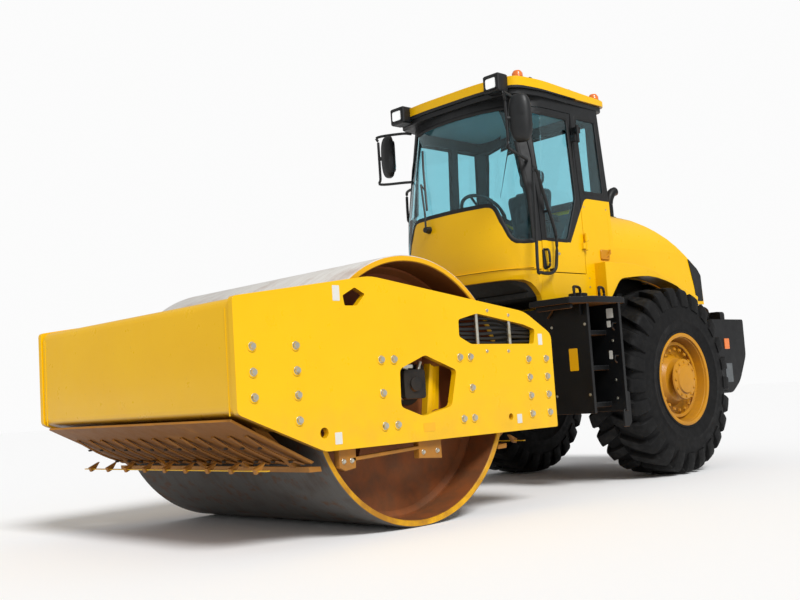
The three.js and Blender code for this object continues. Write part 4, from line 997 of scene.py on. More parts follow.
def step_fittings(side):
    """Chequered treads, gussets under the deck, a hanging foot bracket, grab loops and blank plates."""
    name, flip = sided(side)
    front, rear = STEP_Y0, STEP_Y0 + 0.34
    treads = [block((0.602, front + 0.034, z + 0.0305), (0.902, rear - 0.034, z + 0.036), 0.001)
              for z in (0.60, 0.88, 1.15)]
    deck = slab(rounded([(0.60, front - 0.17), (0.93, front - 0.17), (1.02, front + 0.02),
                         (1.02, rear + 0.05),
                         (0.80, rear + 0.16), (0.72, rear + 0.16), (0.72, front - 0.05)], 0.02),
                "Z", DECK_Z + 0.0003, DECK_Z + 0.006, 0.001)
    make(f"steps.treads_{name}", flip(treads + [deck]), "rear_frame", TREAD_PLATE)
    gussets = [slab([(x0, 1.384), (x1, 1.384), (x0, 1.30)], "Y", front - 0.03, front - 0.002)
               for x0, x1 in ((0.60, 0.68), (0.92, 0.845))]
    gussets += [slab(rectangle(0.60, 0.93, 1.350, 1.384, 0.01), "Y", front - 0.16, front - 0.13)]
    foot = [slab(rounded([(rear - 0.004, 0.72), (rear + 0.05, 0.70), (rear + 0.05, 0.47),
                          (rear + 0.012, 0.44), (rear - 0.05, 0.44),
                          (rear - 0.05, 0.56), (rear - 0.004, 0.60)], 0.012), "X", 1.002, 1.018)]
    hooks = [tube(smooth_path([(1.0, rear - 0.031, z), (1.0, rear - 0.075, z - 0.004),
                               (1.0, rear - 0.085, z - 0.035),
                               (1.0, rear - 0.060, z - 0.055)], 5), 0.006) for z in (1.235, 0.985)]
    loops = [tube(smooth_path([(x, y0, DECK_Z + 0.002), (x, y0, DECK_Z + 0.06),
                               (x - 0.02, y0 + 0.03, DECK_Z + 0.085),
                               (x - 0.05, y1 - 0.03, DECK_Z + 0.085), (x - 0.06, y1, DECK_Z + 0.06),
                               (x - 0.06, y1, DECK_Z + 0.002)], 5), 0.011)
             for x, y0, y1 in ((0.93, front - 0.10, front + 0.06), (0.95, front + 0.19, front + 0.34))]
    boxes = [block((0.76, front + 0.05, DECK_Z + 0.006), (0.86, front + 0.17, DECK_Z + 0.05), 0.006,
                   0.01)]
    make(f"steps.ironwork_{name}", flip(gussets + foot + hooks + loops + boxes), "rear_frame", BLACK)
    rows = bolts([(x, front - 0.0005, z) for z in (1.23, 0.70) for x in (0.62, 0.93)], "Y", -0.009)
    rows += bolts([(0.955, rear - 0.0305, z) for z in (1.10, 0.80, 0.66)], "Y", -0.009)
    make(f"steps.bolts_{name}", flip(rows), "rear_frame", BOLT_STEEL)
    caution = slab(rectangle(0.765, 0.845, 0.885, 1.055, 0.008), "Y", front - 0.002, front - 0.0003,
                   0.0004)
    make(f"steps.blank_caution_{name}", flip([caution]), "rear_frame", SIGNAL_PLATE)
    signs = [slab(rectangle(x, x + w, z, z + h, 0.004), "Y", rear - 0.0325, rear - 0.0305, 0.0004)
             for x, w, z, h in ((0.918, 0.06, 1.275, 0.075), (0.915, 0.035, 1.205, 0.05),
                                (0.915, 0.03, 0.96, 0.065))]
    make(f"steps.blank_plates_{name}", flip(signs), "rear_frame", WHITE_PLATE)


for hand in (1, -1):
    step_fittings(hand)

# ---- cab ----------------------------------------------------------------------------------------
def pane_edges(node):
    """Closed lines round the outer face of a pane, and the way the pane faces along them. A face is
    on one of the pane's two broad sides where the glass behind it is thin."""
    shape = bmesh.new()
    shape.from_mesh(NODES[node].data)
    bmesh.ops.remove_doubles(shape, verts=shape.verts, dist=1e-5)
    shape.normal_update()
    tree = BVHTree.FromBMesh(shape)
    middle = Vector((0, (NOSE_LOW[1] + SIDE_HIGH[1]) / 2, 0))
    outer = set()
    for face in shape.faces:
        at = face.calc_center_median()
        behind = tree.ray_cast(at - face.normal * 0.0005, -face.normal, 0.015)[0]
        if behind and face.normal.xy.dot((at - middle).xy) > 0:
            outer.add(face)
    joined = {}
    for edge in shape.edges:
        if sum(face in outer for face in edge.link_faces) == 1:
            for vert in edge.verts:
                joined.setdefault(vert, []).append(edge)
    lines, used = [], set()
    for start, edges in joined.items():
        vert, edge, chain = start, edges[0], []
        while edge and edge not in used:
            used.add(edge)
            face = next(f for f in edge.link_faces if f in outer)
            chain.append((np.array(vert.co), np.array(face.normal)))
            vert = edge.other_vert(vert)
            edge = next((e for e in joined[vert] if e not in used), None)
        if len(chain) > 3:
            lines.append((np.array([p for p, _ in chain]), np.array([n for _, n in chain])))
    shape.free()
    return [line for line in lines if np.ptp(line[0], axis=0).max() > 0.2]


def evened(points, normals, step):
    """A closed line cut to nearly even steps, its corners kept, with each point's facing direction."""
    out, facing = [], []
    for i, (start, end) in enumerate(zip(points, np.roll(points, -1, 0))):
        count = max(1, int(np.linalg.norm(end - start) / step))
        for k in range(count):
            out.append(start + (end - start) * k / count)
            facing.append(normals[i])
    return np.array(out), np.array(facing)


def glass_seals():
    """A flat rubber seal round each pane: an ellipse carried along the outer edge of the glass."""
    radius, flatness = 0.019, 0.4
    for node in PANES:
        parts = []
        for points, normals in pane_edges(node):
            line, facing = evened(points, normals, 0.05)
            facing = facing + np.roll(facing, 1, 0)
            facing /= np.linalg.norm(facing, axis=1, keepdims=True)
            parts.append(tube(line + facing * 0.004, radius, 8, flatness, facing, closed=True))
        make(f"cab.seal_{node}", parts, body_of(node), RUBBER, 50)


def two_tone_door():
    """The door's lower panel is body colour and its window frame black. They part along the sill,
    which is level at the front and climbs at the back."""
    corner, climb = Vector((0, 0.57, 1.895)), Vector((0, -0.846, 0.534))
    level = Vector((0, 0, 1))
    cuts = ((corner, level), (corner, climb))
    def above(p):
        return (p - corner).dot(level) > 0 and (p - corner).dot(climb) > 0
    dressed("cab_door", PLASTIC, 2.5, cuts=cuts, keep=above, tag="window_frame")
    dressed("cab_door", YELLOW, 2.5, cuts=cuts, keep=lambda p: not above(p), tag="panel")


def door_fittings():
    """Door handle in its cup, and a lock barrel behind it."""
    out = DOOR_HIGH[0] - 0.045
    y, z = 0.275, 1.755
    cup = slab(rectangle(y - 0.055, y + 0.055, z - 0.085, z + 0.085, 0.02), "X", out - 0.012,
               out + 0.006, 0.004)
    grip = tube(smooth_path([(out, y - 0.03, z - 0.07), (out + 0.035, y - 0.03, z - 0.06),
                             (out + 0.042, y - 0.03, z),
                             (out + 0.035, y - 0.03, z + 0.06), (out, y - 0.03, z + 0.07)], 6), 0.010)
    make("cab.door_handle", [cup, grip], "door", PLASTIC)
    lock = turned([(out - 0.01, 0.0), (out - 0.01, 0.016), (out + 0.006, 0.016), (out + 0.010, 0.012),
                   (out + 0.010, 0.0)],
                  (0, 0.413, 1.80), closed=False, facets=24)
    make("cab.door_lock", [lock], "door", BOLT_STEEL)


def cab_fittings():
    """Wiper, grab handle, belt-line creases, latch box and panel screws."""
    arm = on_surface("windscreen", [(-0.235, -2, 2.235), (-0.27, -2, 2.36), (-0.31, -2, 2.50),
                                    (-0.34, -2, 2.62)], (0, 1, 0))
    pivot = on_surface("cab_nose", [(-0.21, -2, 2.10)], (0, 1, 0))[0]
    path = np.vstack([pivot + (0, -0.045, 0), arm[:3] + (0, -0.040, 0)])
    blade = on_surface("windscreen", [(-0.24, -2, 2.27), (-0.28, -2, 2.45), (-0.32, -2, 2.63),
                                      (-0.35, -2, 2.80)], (0, 1, 0))
    parts = [tube(smooth_path(path, 6), 0.008),
             tube(smooth_path(blade + (0, -0.012, 0), 6), 0.009, 8, 0.7),
             turned([(pivot[1] - 0.055, 0.0), (pivot[1] - 0.055, 0.022), (pivot[1] - 0.01, 0.030),
                     (pivot[1] + 0.005, 0.030)],
                    (pivot[0], 0, pivot[2]), "Y", closed=False, facets=20),
             tube([path[-1], blade[1] + (0, -0.02, 0)], 0.006)]
    make("cab.wiper", parts, "rear_frame", PLASTIC)

    handle = smooth_path([(-0.630, 0.190, 2.545), (-0.725, 0.225, 2.540), (-0.745, 0.235, 2.500),
                          (-0.745, 0.232, 2.330),
                          (-0.725, 0.222, 2.280), (-0.630, 0.190, 2.275)], 6)
    make("cab.grab_handle_right", [tube(handle, 0.012)], "rear_frame", PLASTIC)

    belt = [(2, y, 1.690 - 0.075 * y) for y in np.linspace(0.0, 0.20, 10)]
    ridge = on_surface("cab_nose", belt, (-1, 0, 0))
    front = [(x0, -2, 1.690) for x0 in np.linspace(-0.66, 0.66, 31)]
    nose = on_surface("cab_nose", front, (0, 1, 0))
    make("cab.nose_crease", [tube(nose, 0.010, 8, 0.5, (0, 0, 1)),
                             tube(ridge, 0.010, 8, 0.5, (0, 0, 1))],
         "rear_frame", YELLOW, 60)
    box = slab(rectangle(0.955, 1.075, 1.775, 1.860, 0.018), "X", 0.690, 0.722, 0.006)
    make("cab.latch_box", [box, tube([(0.715, 1.03, 1.80), (0.735, 1.06, 1.83), (0.715, 1.09, 1.86)],
                                     0.009)],
         "rear_frame", OCHRE)
    rows = bolts([(0.7005, y, z) for y in (0.79, 1.09) for z in (1.55, 1.62, 2.20)], "X", 0.008)
    make("cab.panel_screws", both_sides(rows), "rear_frame", BOLT_STEEL)


def two_tone_roof():
    """The roof's crown is body colour and its skirt black. They part on a plane that falls rearward."""
    edge, fall = Vector((0, ROOF_LOW[1], 3.114)), Vector((0, 0.030, 1)).normalized()
    def above(p):
        return (p - edge).dot(fall) > 0
    dressed("cab_roof", YELLOW, 6, cuts=((edge, fall),), keep=above, tag="crown")
    dressed("cab_roof", PLASTIC, 6, cuts=((edge, fall),), keep=lambda p: not above(p), tag="skirt")


def work_lights():
    """Deep moulded housings standing at the roof's front corners."""
    for side in (1, -1):
        node = f"work_light_{side_name(side)}"
        low, high = span(node)
        middle = (low[0] + high[0]) / 2
        shell = block((middle - 0.080, low[1] - 0.004, low[2] + 0.004),
                      (middle + 0.080, high[1], high[2] + 0.022), 0.010, 0.018)
        make(f"roof.{node}_housing", [shell], "rear_frame", PLASTIC, replaces=[node])


def crown_z(y):
    """Height of the roof's crown, which falls evenly by 48 mm from its front edge to its back."""
    return ROOF_HIGH[2] - 0.048 * (y - ROOF_LOW[1]) / (ROOF_HIGH[1] - ROOF_LOW[1])


def roof_fittings():
    """Four amber marker lamps, four lifting eyes, and framed lenses in the work lights."""
    bases, lamps, eyes = [], [], []
    for x, y in ((0.60, 0.20), (0.615, 1.18)):
        z = crown_z(y)
        bases.append(turned([(z - 0.004, 0.0), (z - 0.004, 0.052), (z + 0.014, 0.049),
                             (z + 0.016, 0.0)], (x, y, 0), "Z",
                            closed=False, facets=28))
        lamps.append(turned([(z + 0.014, 0.0), (z + 0.014, 0.044), (z + 0.048, 0.042),
                             (z + 0.068, 0.028), (z + 0.073, 0.0)],
                            (x, y, 0), "Z", closed=False, facets=28))
    for x, y in ((0.60, 0.36), (0.60, 0.86)):
        z = crown_z(y)
        eyes.append(tube(smooth_path([(x, y - 0.035, z - 0.004), (x, y - 0.03, z + 0.03),
                                      (x, y, z + 0.045), (x, y + 0.03, z + 0.03),
                                      (x, y + 0.035, z - 0.004)], 5), 0.009))
    make("roof.lamp_bases", both_sides(bases), "rear_frame", PLASTIC)
    make("roof.marker_lamps", both_sides(lamps), "rear_frame", AMBER)
    make("roof.lifting_eyes", both_sides(eyes), "rear_frame", PLASTIC)
    low, high = span("work_light_left")
    x, y, z = (low[0] + high[0]) / 2, low[1] - 0.004, high[2] - 0.050
    lens_face = slab(rectangle(x - 0.050, x + 0.050, z - 0.040, z + 0.040, 0.016), "Y", y - 0.003,
                     y + 0.004, 0.002)
    rim = [slab(rectangle(x + x0, x + x1, z + z0, z + z1, 0.004), "Y", y - 0.007, y + 0.01, 0.002)
           for x0, x1, z0, z1 in ((-0.064, 0.064, -0.054, -0.042), (-0.064, 0.064, 0.042, 0.054),
                                  (-0.064, -0.052, -0.054, 0.054), (0.052, 0.064, -0.054, 0.054))]
    make("roof.work_light_lenses", both_sides([lens_face]), "rear_frame", WHITE_LENS)
    make("roof.work_light_rims", both_sides(rim), "rear_frame", PLASTIC)


def power(value, exponent):
    """The size of value raised to exponent, with the sign of value."""
    return np.sign(value) * np.abs(value) ** exponent


def mirrors():
    """Each mirror is an egg-like shell, deep in front and shallow behind, with a silvered plate, toed
    in toward the seat and held on a bent tube that runs from the pillar round its outer side."""
    v = np.linspace(-math.pi / 2 + 0.04, math.pi / 2 - 0.04, 25)[:, None]
    u = np.linspace(0, 2 * math.pi, 40, endpoint=False)[None, :]
    waist = power(np.cos(v), 0.55)
    across, along = waist * power(np.cos(u), 0.75), waist * power(np.sin(u), 0.75)
    egg = np.stack([0.086 * across, np.where(along < 0, 0.066, 0.030) * along,
                    0.182 * power(np.sin(v), 0.72) * np.ones_like(u)], 2)
    turn = math.radians(24)
    toe = np.array([[math.cos(turn), math.sin(turn), 0], [-math.sin(turn), math.cos(turn), 0],
                    [0, 0, 1]])
    plate, plate_faces = slab(rectangle(-0.066, 0.066, -0.140, 0.140, 0.045), "Y", 0.026, 0.0315, 0.001)
    for node, side, centre, reach in (("mirror_left", 1, (0.855, -0.12, 2.765), (0.790, -0.205)),
                                      ("mirror_right", -1, (0.795, 0.105, 2.850), (0.895, 0.075))):
        centre = np.array(centre)
        low_z, high_z = centre[2] - 0.225, centre[2] + 0.195
        foot_x, foot_y = 0.580, 0.172
        bend = [(foot_x, foot_y, high_z - 0.03), (foot_x + 0.09, foot_y - 0.025, high_z - 0.01),
                (*reach, high_z), (*reach, high_z - 0.05),
                (*reach, centre[2]), (*reach, low_z + 0.05), (*reach, low_z),
                (foot_x + 0.09, foot_y - 0.025, low_z - 0.02),
                (foot_x, foot_y, low_z - 0.03)]
        clamp = bar((*reach, centre[2]),
                    (centre[0] * 0.7 + reach[0] * 0.3, centre[1] - 0.02, centre[2]), 0.017)
        shell = grid(egg @ toe + centre, caps=True)
        flip = sided(side)[1]
        make(f"cab.{node}_shell", flip([shell, tube(smooth_path(bend, 5), 0.0115), clamp]),
             "rear_frame", PLASTIC,
             replaces=[node])
        make(f"cab.{node}_glass", flip([(plate @ toe + centre, plate_faces)]), "rear_frame",
             MIRROR_GLASS)


def door_rail():
    """A long hand rail bent to a closed loop, on two stand-offs from the door."""
    x = 0.755
    loop = [(0.122, 2.435), (0.158, 2.405), (0.192, 2.300), (0.254, 2.138), (0.326, 1.926),
            (0.307, 1.723), (0.280, 1.661),
            (0.214, 1.632), (0.110, 1.636), (0.072, 1.667), (0.092, 2.034), (0.106, 2.400)]
    ring = smooth_path([(x, y, z) for y, z in loop + loop[:1]], 6)[:-1]
    posts = [bar((x, 0.262, 2.118), (DOOR_HIGH[0] - 0.075, 0.262, 2.118), 0.010),
             bar((x, 0.285, 1.668), (DOOR_HIGH[0] - 0.050, 0.285, 1.668), 0.010)]
    make("cab.door_rail", [tube(ring, 0.0125, 10, closed=True)] + posts, "door", PLASTIC,
         replaces=["door_rail"])


glass_seals()
two_tone_door()
door_fittings()
cab_fittings()
two_tone_roof()
work_lights()
roof_fittings()
mirrors()
door_rail()

# ---- inside the cab -----------------------------------------------------------------------------
def steering_wheel():
    """A padded rim, a hub and three spokes, tilted toward the driver, on a round column."""
    centre, tilt = np.array([0, 0.365, 2.241]), math.radians(-42)
    angle = np.linspace(0, 2 * math.pi, 48, endpoint=False)
    rim = tube(np.stack([0.19 * np.cos(angle), 0.19 * np.sin(angle), 0 * angle], 1), 0.015, 12,
               closed=True)
    hub = turned([(-0.02, 0.0), (-0.02, 0.048), (0.012, 0.044), (0.018, 0.0)], (0, 0, 0), "Z",
                 closed=False, facets=32)
    spokes = [tube([(0.03 * math.cos(a), 0.03 * math.sin(a), -0.004),
                    (0.185 * math.cos(a), 0.185 * math.sin(a), 0)], 0.014, 8, 0.5)
              for a in (math.radians(-90), math.radians(30), math.radians(150))]
    turn = np.array([[1, 0, 0], [0, math.cos(tilt), math.sin(tilt)],
                     [0, -math.sin(tilt), math.cos(tilt)]])
    placed = [(points @ turn + centre, faces) for points, faces in [rim, hub] + spokes]
    low = span("steering_console")[0]
    y = low[1]
    stand = slab(rounded([(y + 0.148, low[2]), (y + 0.215, low[2]), (y + 0.22, 2.07), (y + 0.18, 2.13),
                          (y + 0.04, 2.15),
                          (y + 0.055, 1.97)], 0.03), "X", -0.17, 0.17, 0.012)
    column = tube([(0, y + 0.14, 2.08), (0, y + 0.262, 2.225)], 0.028, 20)
    make("interior.console_and_wheel", placed + [stand, column], "rear_frame", PLASTIC,
         replaces=["steering_console"])
    screen = slab(rectangle(-0.10, 0.10, 2.02, 2.105, 0.01), "Y", y + 0.216, y + 0.222, 0.002)
    make("interior.dash_screen", [screen], "rear_frame", DARK_MESH)


def cushion(low, high, crown):
    """An upholstered block: a rounded box whose top swells by crown in the middle, and is drawn down
    along seams that run across it at thirds of its depth."""
    plan = rectangle(low[0], high[0], low[1], high[1], 0.07, 8)
    middle = (np.array(low) + np.array(high))[:2] / 2
    profile = [(0.90, low[2]), (0.985, low[2] + 0.012), (1.0, low[2] + 0.03), (1.0, high[2] - 0.045),
               (0.985, high[2] - 0.020),
               (0.95, high[2] - 0.006)]
    rings = [np.column_stack([middle + (plan - middle) * share, np.full(len(plan), z)])
             for share, z in profile]
    for share in (0.88, 0.76, 0.64, 0.52, 0.40, 0.28, 0.16, 0.05):
        flat = middle + (plan - middle) * share
        depth = (flat[:, 1] - low[1]) / (high[1] - low[1])
        seam = np.exp(-((depth - 0.33) / 0.03) ** 2) + np.exp(-((depth - 0.67) / 0.03) ** 2)
        z = high[2] + crown * (1 - share ** 2) - 0.012 * seam
        rings.append(np.column_stack([flat, z]))
    return grid(np.stack(rings), caps=True)


FOAM_VOXEL = 0.006
CLOTH_PRESSURE = 4
CLOTH_FRAMES = 20


def stuffed(name, parts, replaces, cap=0.010):
    """Foam under cloth: a closed form cut a little small, remeshed evenly and blown out as cloth with
    gravity off. No point moves further than cap."""
    piece = make(name, parts, "rear_frame", CLOTH, 60, replaces=replaces)
    even = piece.modifiers.new("even", "REMESH")
    even.mode, even.voxel_size = "VOXEL", FOAM_VOXEL
    def settled():
        graph = bpy.context.evaluated_depsgraph_get()
        return bpy.data.meshes.new_from_object(piece.evaluated_get(graph))
    def places(mesh):
        return np.array([v.co for v in mesh.vertices])
    mesh = settled()
    piece.modifiers.clear()
    piece.data = mesh
    start = places(mesh)
    cloth = piece.modifiers.new("cover", "CLOTH")
    cloth.settings.use_pressure = True
    cloth.settings.uniform_pressure_force = CLOTH_PRESSURE
    cloth.settings.effector_weights.gravity = 0
    for frame in range(1, CLOTH_FRAMES + 1):
        bpy.context.scene.frame_set(frame)
    moved = places(settled()) - start
    piece.modifiers.clear()
    bpy.context.scene.frame_set(1)
    far = np.linalg.norm(moved, axis=1, keepdims=True)
    swollen = start + moved * np.minimum(1, cap / np.maximum(far, 1e-9))
    mesh.vertices.foreach_set("co", swollen.ravel())
    mesh.polygons.foreach_set("use_smooth", [True] * len(mesh.polygons))
    mesh.update()


def seat():
    """Sprung seat: cushion, leaning back and head rest in cloth, with arm rests on either side."""
    low, high = span("seat_cushion")
    stuffed("interior.seat_cushion", [cushion(low + 0.010, high - (0.010, 0.010, 0.032), 0.014)],
            ["seat_cushion"])
    low, high = span("seat_back")
    size = high - low
    block_low = np.array([low[0] + 0.01, 0.015, 0.012])
    block_high = np.array([high[0] - 0.01, size[2] * 0.74, 0.085])
    def stand_up(parts, y, z, lean=0.155):
        """Turns cushions drawn lying down, so that their tops face forward and their length leans
        back."""
        out = []
        for points, faces in parts:
            x, along, thick = points.T
            out.append((np.stack([x, y + along * math.sin(lean) - thick * math.cos(lean),
                                  z + along * math.cos(lean) + thick * math.sin(lean)], 1), faces))
        return out
    back = stand_up([cushion(block_low, block_high, 0.012)], low[1] + 0.10, low[2])
    head = stand_up([cushion((-0.13, size[2] * 0.79, 0.01), (0.13, size[2] * 1.02, 0.075), 0.01)],
                    low[1] + 0.10, low[2])
    stuffed("interior.seat_back", back + head, ["seat_back"])
    rests = [cushion((s * 0.29 - 0.035, low[1] - 0.22, low[2] + 0.14),
                     (s * 0.29 + 0.035, low[1] + 0.10, low[2] + 0.20), 0.004)
             for s in (-1, 1)]
    arms = [bar((s * 0.24, low[1] + 0.09, low[2] + 0.16), (s * 0.30, low[1] + 0.08, low[2] + 0.17),
                0.016) for s in (-1, 1)]
    stems = [bar((s * 0.06, low[1] + 0.13, low[2] + 0.44), (s * 0.06, low[1] + 0.15, low[2] + 0.54),
                 0.008) for s in (-1, 1)]
    make("interior.arm_rests", rests + arms + stems, "rear_frame", PLASTIC)


def cab_lining():
    """Side console with levers, pedals, trim on the side and back panels, and a pale headliner."""
    low, high = span("seat_cushion")
    desk = [slab(rounded([(low[1] - 0.05, 1.52), (high[1] + 0.02, 1.52), (high[1] + 0.02, 2.06),
                          (low[1] + 0.05, 2.06),
                          (low[1] - 0.05, 1.98)], 0.03), "X", -0.50, -0.37, 0.01)]
    make("interior.side_console", desk, "rear_frame", TRIM)
    sticks = [bar((-0.44, y, 2.05), (-0.44, y - 0.03, 2.19), 0.009)
              for y in (low[1] + 0.10, low[1] + 0.22)]
    knobs = [turned([(2.18, 0.0), (2.18, 0.014), (2.20, 0.023), (2.225, 0.020), (2.235, 0.0)],
                    (-0.44, y - 0.035, 0), "Z",
                    closed=False, facets=20) for y in (low[1] + 0.10, low[1] + 0.22)]
    pedals = [slab([(0.20, 1.60), (0.215, 1.585), (0.11, 1.735), (0.095, 1.75)], "X", x - 0.045,
                   x + 0.045, 0.003) for x in (-0.30, 0.30)]
    make("interior.levers_and_pedals", sticks + knobs + pedals, "rear_frame", PLASTIC)
    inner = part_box("cab_side_left")[0][0]
    panel = slab([(0.235, 1.55), (1.085, 1.55), (1.085, 2.235), (0.775, 2.235), (0.565, 1.880),
                  (0.235, 1.880)], "X",
                 inner - 0.006, inner - 0.001, 0.002)
    back_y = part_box("cab_back")[0][1]
    rear = block((-0.575, back_y - 0.006, 1.55), (0.575, back_y - 0.001, 2.235), 0.002, 0.03)
    make("interior.trim_panels", both_sides([panel]) + [rear], "rear_frame", TRIM)
    roof_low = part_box("roof_liner")[0]
    lining = block((-0.60, roof_low[1] + 0.22, roof_low[2] - 0.014), (0.60, 1.08, roof_low[2] - 0.001),
                   0.004, 0.08)
    make("interior.headliner", [lining], "rear_frame", HEADLINER)


steering_wheel()
seat()
cab_lining()

# ---- hood, tail and running gear ----------------------------------------------------------------
def hood_fittings():
    """Dark tail panels, panel gap, latches, tail grille and the exhaust pipe with its open end."""
    x, top = HOOD_HIGH[0], HOOD_HIGH[2]
    tail = slab(rounded([(2.435, 1.862), (2.50, 1.820), (2.575, 1.775), (2.630, 1.715), (2.640, 1.475),
                         (2.520, 1.475), (2.505, 1.60)], 0.012),
                "X", x - 0.016, x + 0.002, 0.001)
    make("hood.side_vents", both_sides([tail]), "hood", DARK_MESH)
    frame_low, frame_high = span("hood_grille")
    bars = [block((frame_low[0] + 0.01, frame_high[1] - 0.006, z),
                  (frame_high[0] - 0.01, frame_high[1] + 0.004, z + 0.008), 0.001)
            for z in np.linspace(frame_low[2] + 0.012, frame_high[2] - 0.02, 9)]
    make("hood.grille_bars", bars, "hood", BLACK)
    gap = [slab(rectangle(HOOD_LOW[1] - 0.028, HOOD_LOW[1] - 0.002, 1.46, 2.05, 0.004), "X", x - 0.030,
                x - 0.004, 0.002)]
    make("hood.panel_gap", both_sides(gap), "rear_frame", RUBBER)
    latches = [slab(rectangle(y, y + 0.07, 1.475, 1.515, 0.008), "X", x, x + 0.014, 0.004)
               for y in (1.24, 2.36)]
    latches += [tube(smooth_path([(0.52, 2.652, 1.76), (0.52, 2.69, 1.74), (0.40, 2.69, 1.74),
                                  (0.40, 2.652, 1.76)], 5), 0.009)]
    make("hood.latches", both_sides(latches), "hood", PLASTIC)
    low, high = span("exhaust_pipe")
    y0 = low[1] + 0.040
    path = smooth_path([(0.33, y0, low[2]), (0.33, y0, top + 0.06), (0.33, y0, top + 0.13),
                        (0.333, y0 + 0.018, top + 0.19), (0.338, y0 + 0.055, top + 0.235),
                        (0.345, high[1] - 0.028, top + 0.252)], 6)
    outer = tube(path, 0.040, 28)[0].reshape(-1, 28, 3)
    inner = tube(path, 0.036, 28)[0].reshape(-1, 28, 3)
    wall = np.concatenate([outer, inner[:-9:-1]])
    collar = turned([(top - 0.012, 0.039), (top - 0.012, 0.062), (top + 0.006, 0.058),
                     (top + 0.012, 0.041)],
                    (0.33, y0, 0), "Z", facets=32)
    make("hood.exhaust_pipe", [grid(wall, caps=True), collar], "hood", BLACK, replaces=["exhaust_pipe"])


def tail_fittings():
    """Lamps in the counterweight's two housings, reflectors, a blank plate, the tow pin in its lugs,
    hand loops, brackets and a seam."""
    side, rear = WEIGHT_HIGH[:2]
    x, y = 0.64, rear - 0.088
    lamps = [turned([(y - 0.002, 0.0), (y - 0.002, 0.036), (y + 0.006, 0.032), (y + 0.009, 0.0)],
                    (x - 0.03, 0, 1.322), "Y",
                    closed=False, facets=28)]
    make("tail.red_lamps", both_sides(lamps), "rear_frame", RED_LENS)
    whites = [turned([(y - 0.002, 0.0), (y - 0.002, 0.022), (y + 0.005, 0.019), (y + 0.008, 0.0)],
                     (x + 0.042, 0, 1.322), "Y",
                     closed=False, facets=24)]
    make("tail.white_lamps", both_sides(whites), "rear_frame", WHITE_LENS)
    # the amber lens glows faintly; on these reflectors, which are no lamps, that glow is painted light
    reflectors = [slab(rectangle(2.575, 2.660, 1.015, 1.110, 0.006), "X", side - 0.001, side + 0.006,
                       0.002)]
    make("tail.side_reflectors", both_sides(reflectors), "rear_frame", AMBER)
    plate = slab(rectangle(2.560, 2.680, 0.715, 0.885, 0.006), "X", side, side + 0.003, 0.0005)
    make("tail.blank_plate", [plate], "rear_frame", TRIM)
    # the red lens glows faintly; on these reflectors, which are no lamps, that glow is painted light
    pads = [slab(rectangle(side - 0.10, side - 0.02, 1.19, 1.25, 0.01), "Y", rear - 0.001, rear + 0.004,
                 0.001)]
    make("tail.rear_reflectors", both_sides(pads), "rear_frame", RED_LENS)
    lugs = [slab(rounded([(rear - 0.01, z), (rear + 0.05, z), (rear + 0.05, z + 0.025),
                          (rear - 0.01, z + 0.025)]),
                 "X", -0.06, 0.06, 0.004) for z in (1.02, 1.10)]
    lugs += [bar((0, rear + 0.026, 1.0), (0, rear + 0.026, 1.17), 0.016)]
    loops = [tube(smooth_path([(0.72, 2.36, 1.285), (0.74, 2.38, 1.37), (0.74, 2.44, 1.40),
                               (0.74, 2.52, 1.37), (0.72, 2.54, 1.285)], 6), 0.011)]
    make("tail.ironwork", lugs + both_sides(loops), "rear_frame", BLACK)
    boxes = [block((0.56, 2.43, 1.2855), (0.66, 2.58, 1.435), 0.006, 0.012)]
    make("tail.yellow_brackets", both_sides(boxes), "rear_frame", YELLOW)
    seam = block((-side + 0.02, rear - 0.0005, 1.13), (side - 0.02, rear + 0.003, 1.142), 0.001)
    make("tail.seam", [seam], "rear_frame", BLACK)


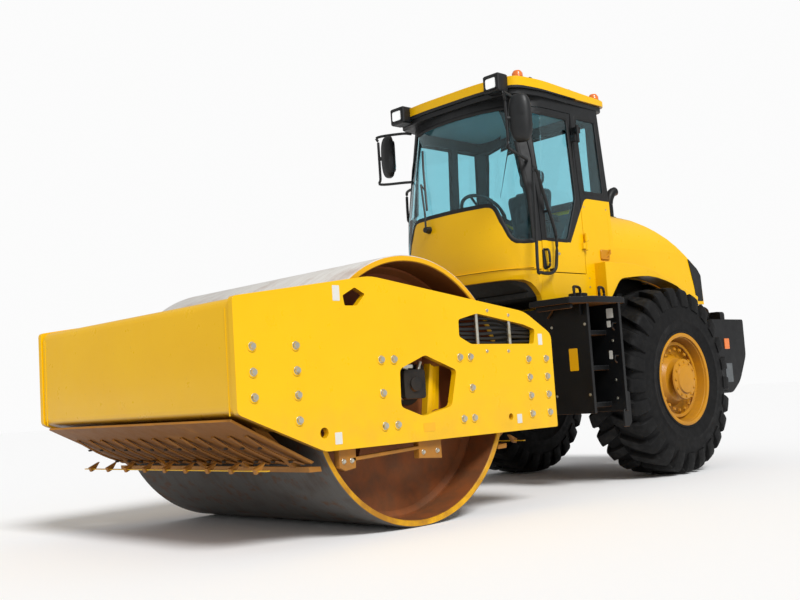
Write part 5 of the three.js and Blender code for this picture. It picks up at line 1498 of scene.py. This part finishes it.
def pivot_fittings():
    """Pin caps on the steering joint, glands on the cylinders, their pipes, and axle bolts."""
    caps = [turned([(z, 0.0), (z, 0.075), (z + 0.018 * s, 0.070), (z + 0.018 * s, 0.0)], (0, 0, 0), "Z",
                   closed=False, facets=40)
            for z, s in ((1.0995, 1), (0.574, -1))]
    make("pivot.pin_caps", caps, "rear_frame", CASTING)
    heads = bolts([(0.052 * math.cos(a), 0.052 * math.sin(a), 1.117)
                   for a in np.linspace(0, 2 * math.pi, 6, endpoint=False)], "Z", 0.009)
    make("pivot.cap_bolts", heads, "rear_frame", BOLT_STEEL)
    anchor, eye = np.array([0.28, 0.84, 0.79]), np.array([0.30, 0.0, 0.79])
    along = (eye - anchor) / np.linalg.norm(eye - anchor)
    def ringed(a, b, radius):
        return tube([anchor + along * a, anchor + along * b], radius, 32)
    for side in (1, -1):
        name, flip = sided(side)
        parts = [ringed(0.505, 0.534, 0.0455), ringed(0.035, 0.062, 0.0445)]
        ports = [bar(anchor + along * d + (0, 0, 0.038), anchor + along * d + (0, 0, 0.068), 0.012)
                 for d in (0.08, 0.49)]
        pipe = tube(smooth_path([anchor + along * 0.49 + (0, 0, 0.068),
                                 anchor + along * 0.45 + (0, 0, 0.078),
                                 anchor + along * 0.16 + (0, 0, 0.078),
                                 anchor + along * 0.10 + (0.02, 0, 0.074)], 5), 0.009)
        make(f"pivot.cylinder_glands_{name}", flip(parts + ports + [pipe]), f"barrel_{name}", BLACK)
    studs = [(s * 0.29 + dx, WHEEL[1] + dy) for s in (-1, 1) for dx in (-0.035, 0.035)
             for dy in (-0.07, 0.07)]
    tubes = [bar((x, y, 0.63), (x, y, 0.72), 0.012) for x, y in studs]
    plates = [block((s * 0.29 - 0.055, WHEEL[1] - 0.095, 0.625),
                    (s * 0.29 + 0.055, WHEEL[1] + 0.095, 0.645), 0.003, 0.01) for s in (-1, 1)]
    make("axle.clamps", tubes + plates, "rear_frame", BLACK)
    ring = [turned([(x, 0.0), (x, 0.10), (x + s * 0.02, 0.10), (x + s * 0.02, 0.0)],
                   (0, WHEEL[1], WHEEL[2]), "X", closed=False, facets=32)
            for x, s in ((0.46, 1), (-0.46, -1))]
    cover = turned([(WHEEL[1] - 0.20, 0.0), (WHEEL[1] - 0.20, 0.12), (WHEEL[1] - 0.17, 0.15),
                    (WHEEL[1] - 0.12, 0.15)],
                   (0, 0, WHEEL[2]), "Y", closed=False, facets=32)
    make("axle.covers", ring + [cover], "rear_frame", BLACK)


def joint_hoses():
    """Hydraulic lines clipped along the chassis nose, each closed by a union short of the steering
    joint."""
    parts, ends = [], []
    for k, x in enumerate((-0.15, -0.11, 0.11, 0.15)):
        z = 1.10 + 0.012 * (k % 2)
        path = smooth_path([(x, 0.30, z - 0.03), (x, 0.36, z + 0.02), (x, 0.50, z + 0.03),
                            (x * 1.1, 0.62, z + 0.22), (x * 1.1, 0.78, z + 0.24)], 6)
        parts.append(tube(path, 0.014))
        ends.append(bar((x, 0.27, z - 0.035), (x, 0.31, z - 0.028), 0.018))
    make("pivot.chassis_lines", parts, "rear_frame", RUBBER)
    make("pivot.line_unions", ends, "rear_frame", BOLT_STEEL)


hood_fittings()
tail_fittings()
pivot_fittings()
joint_hoses()
dressed("hood_grille", DARK_MESH, 2)
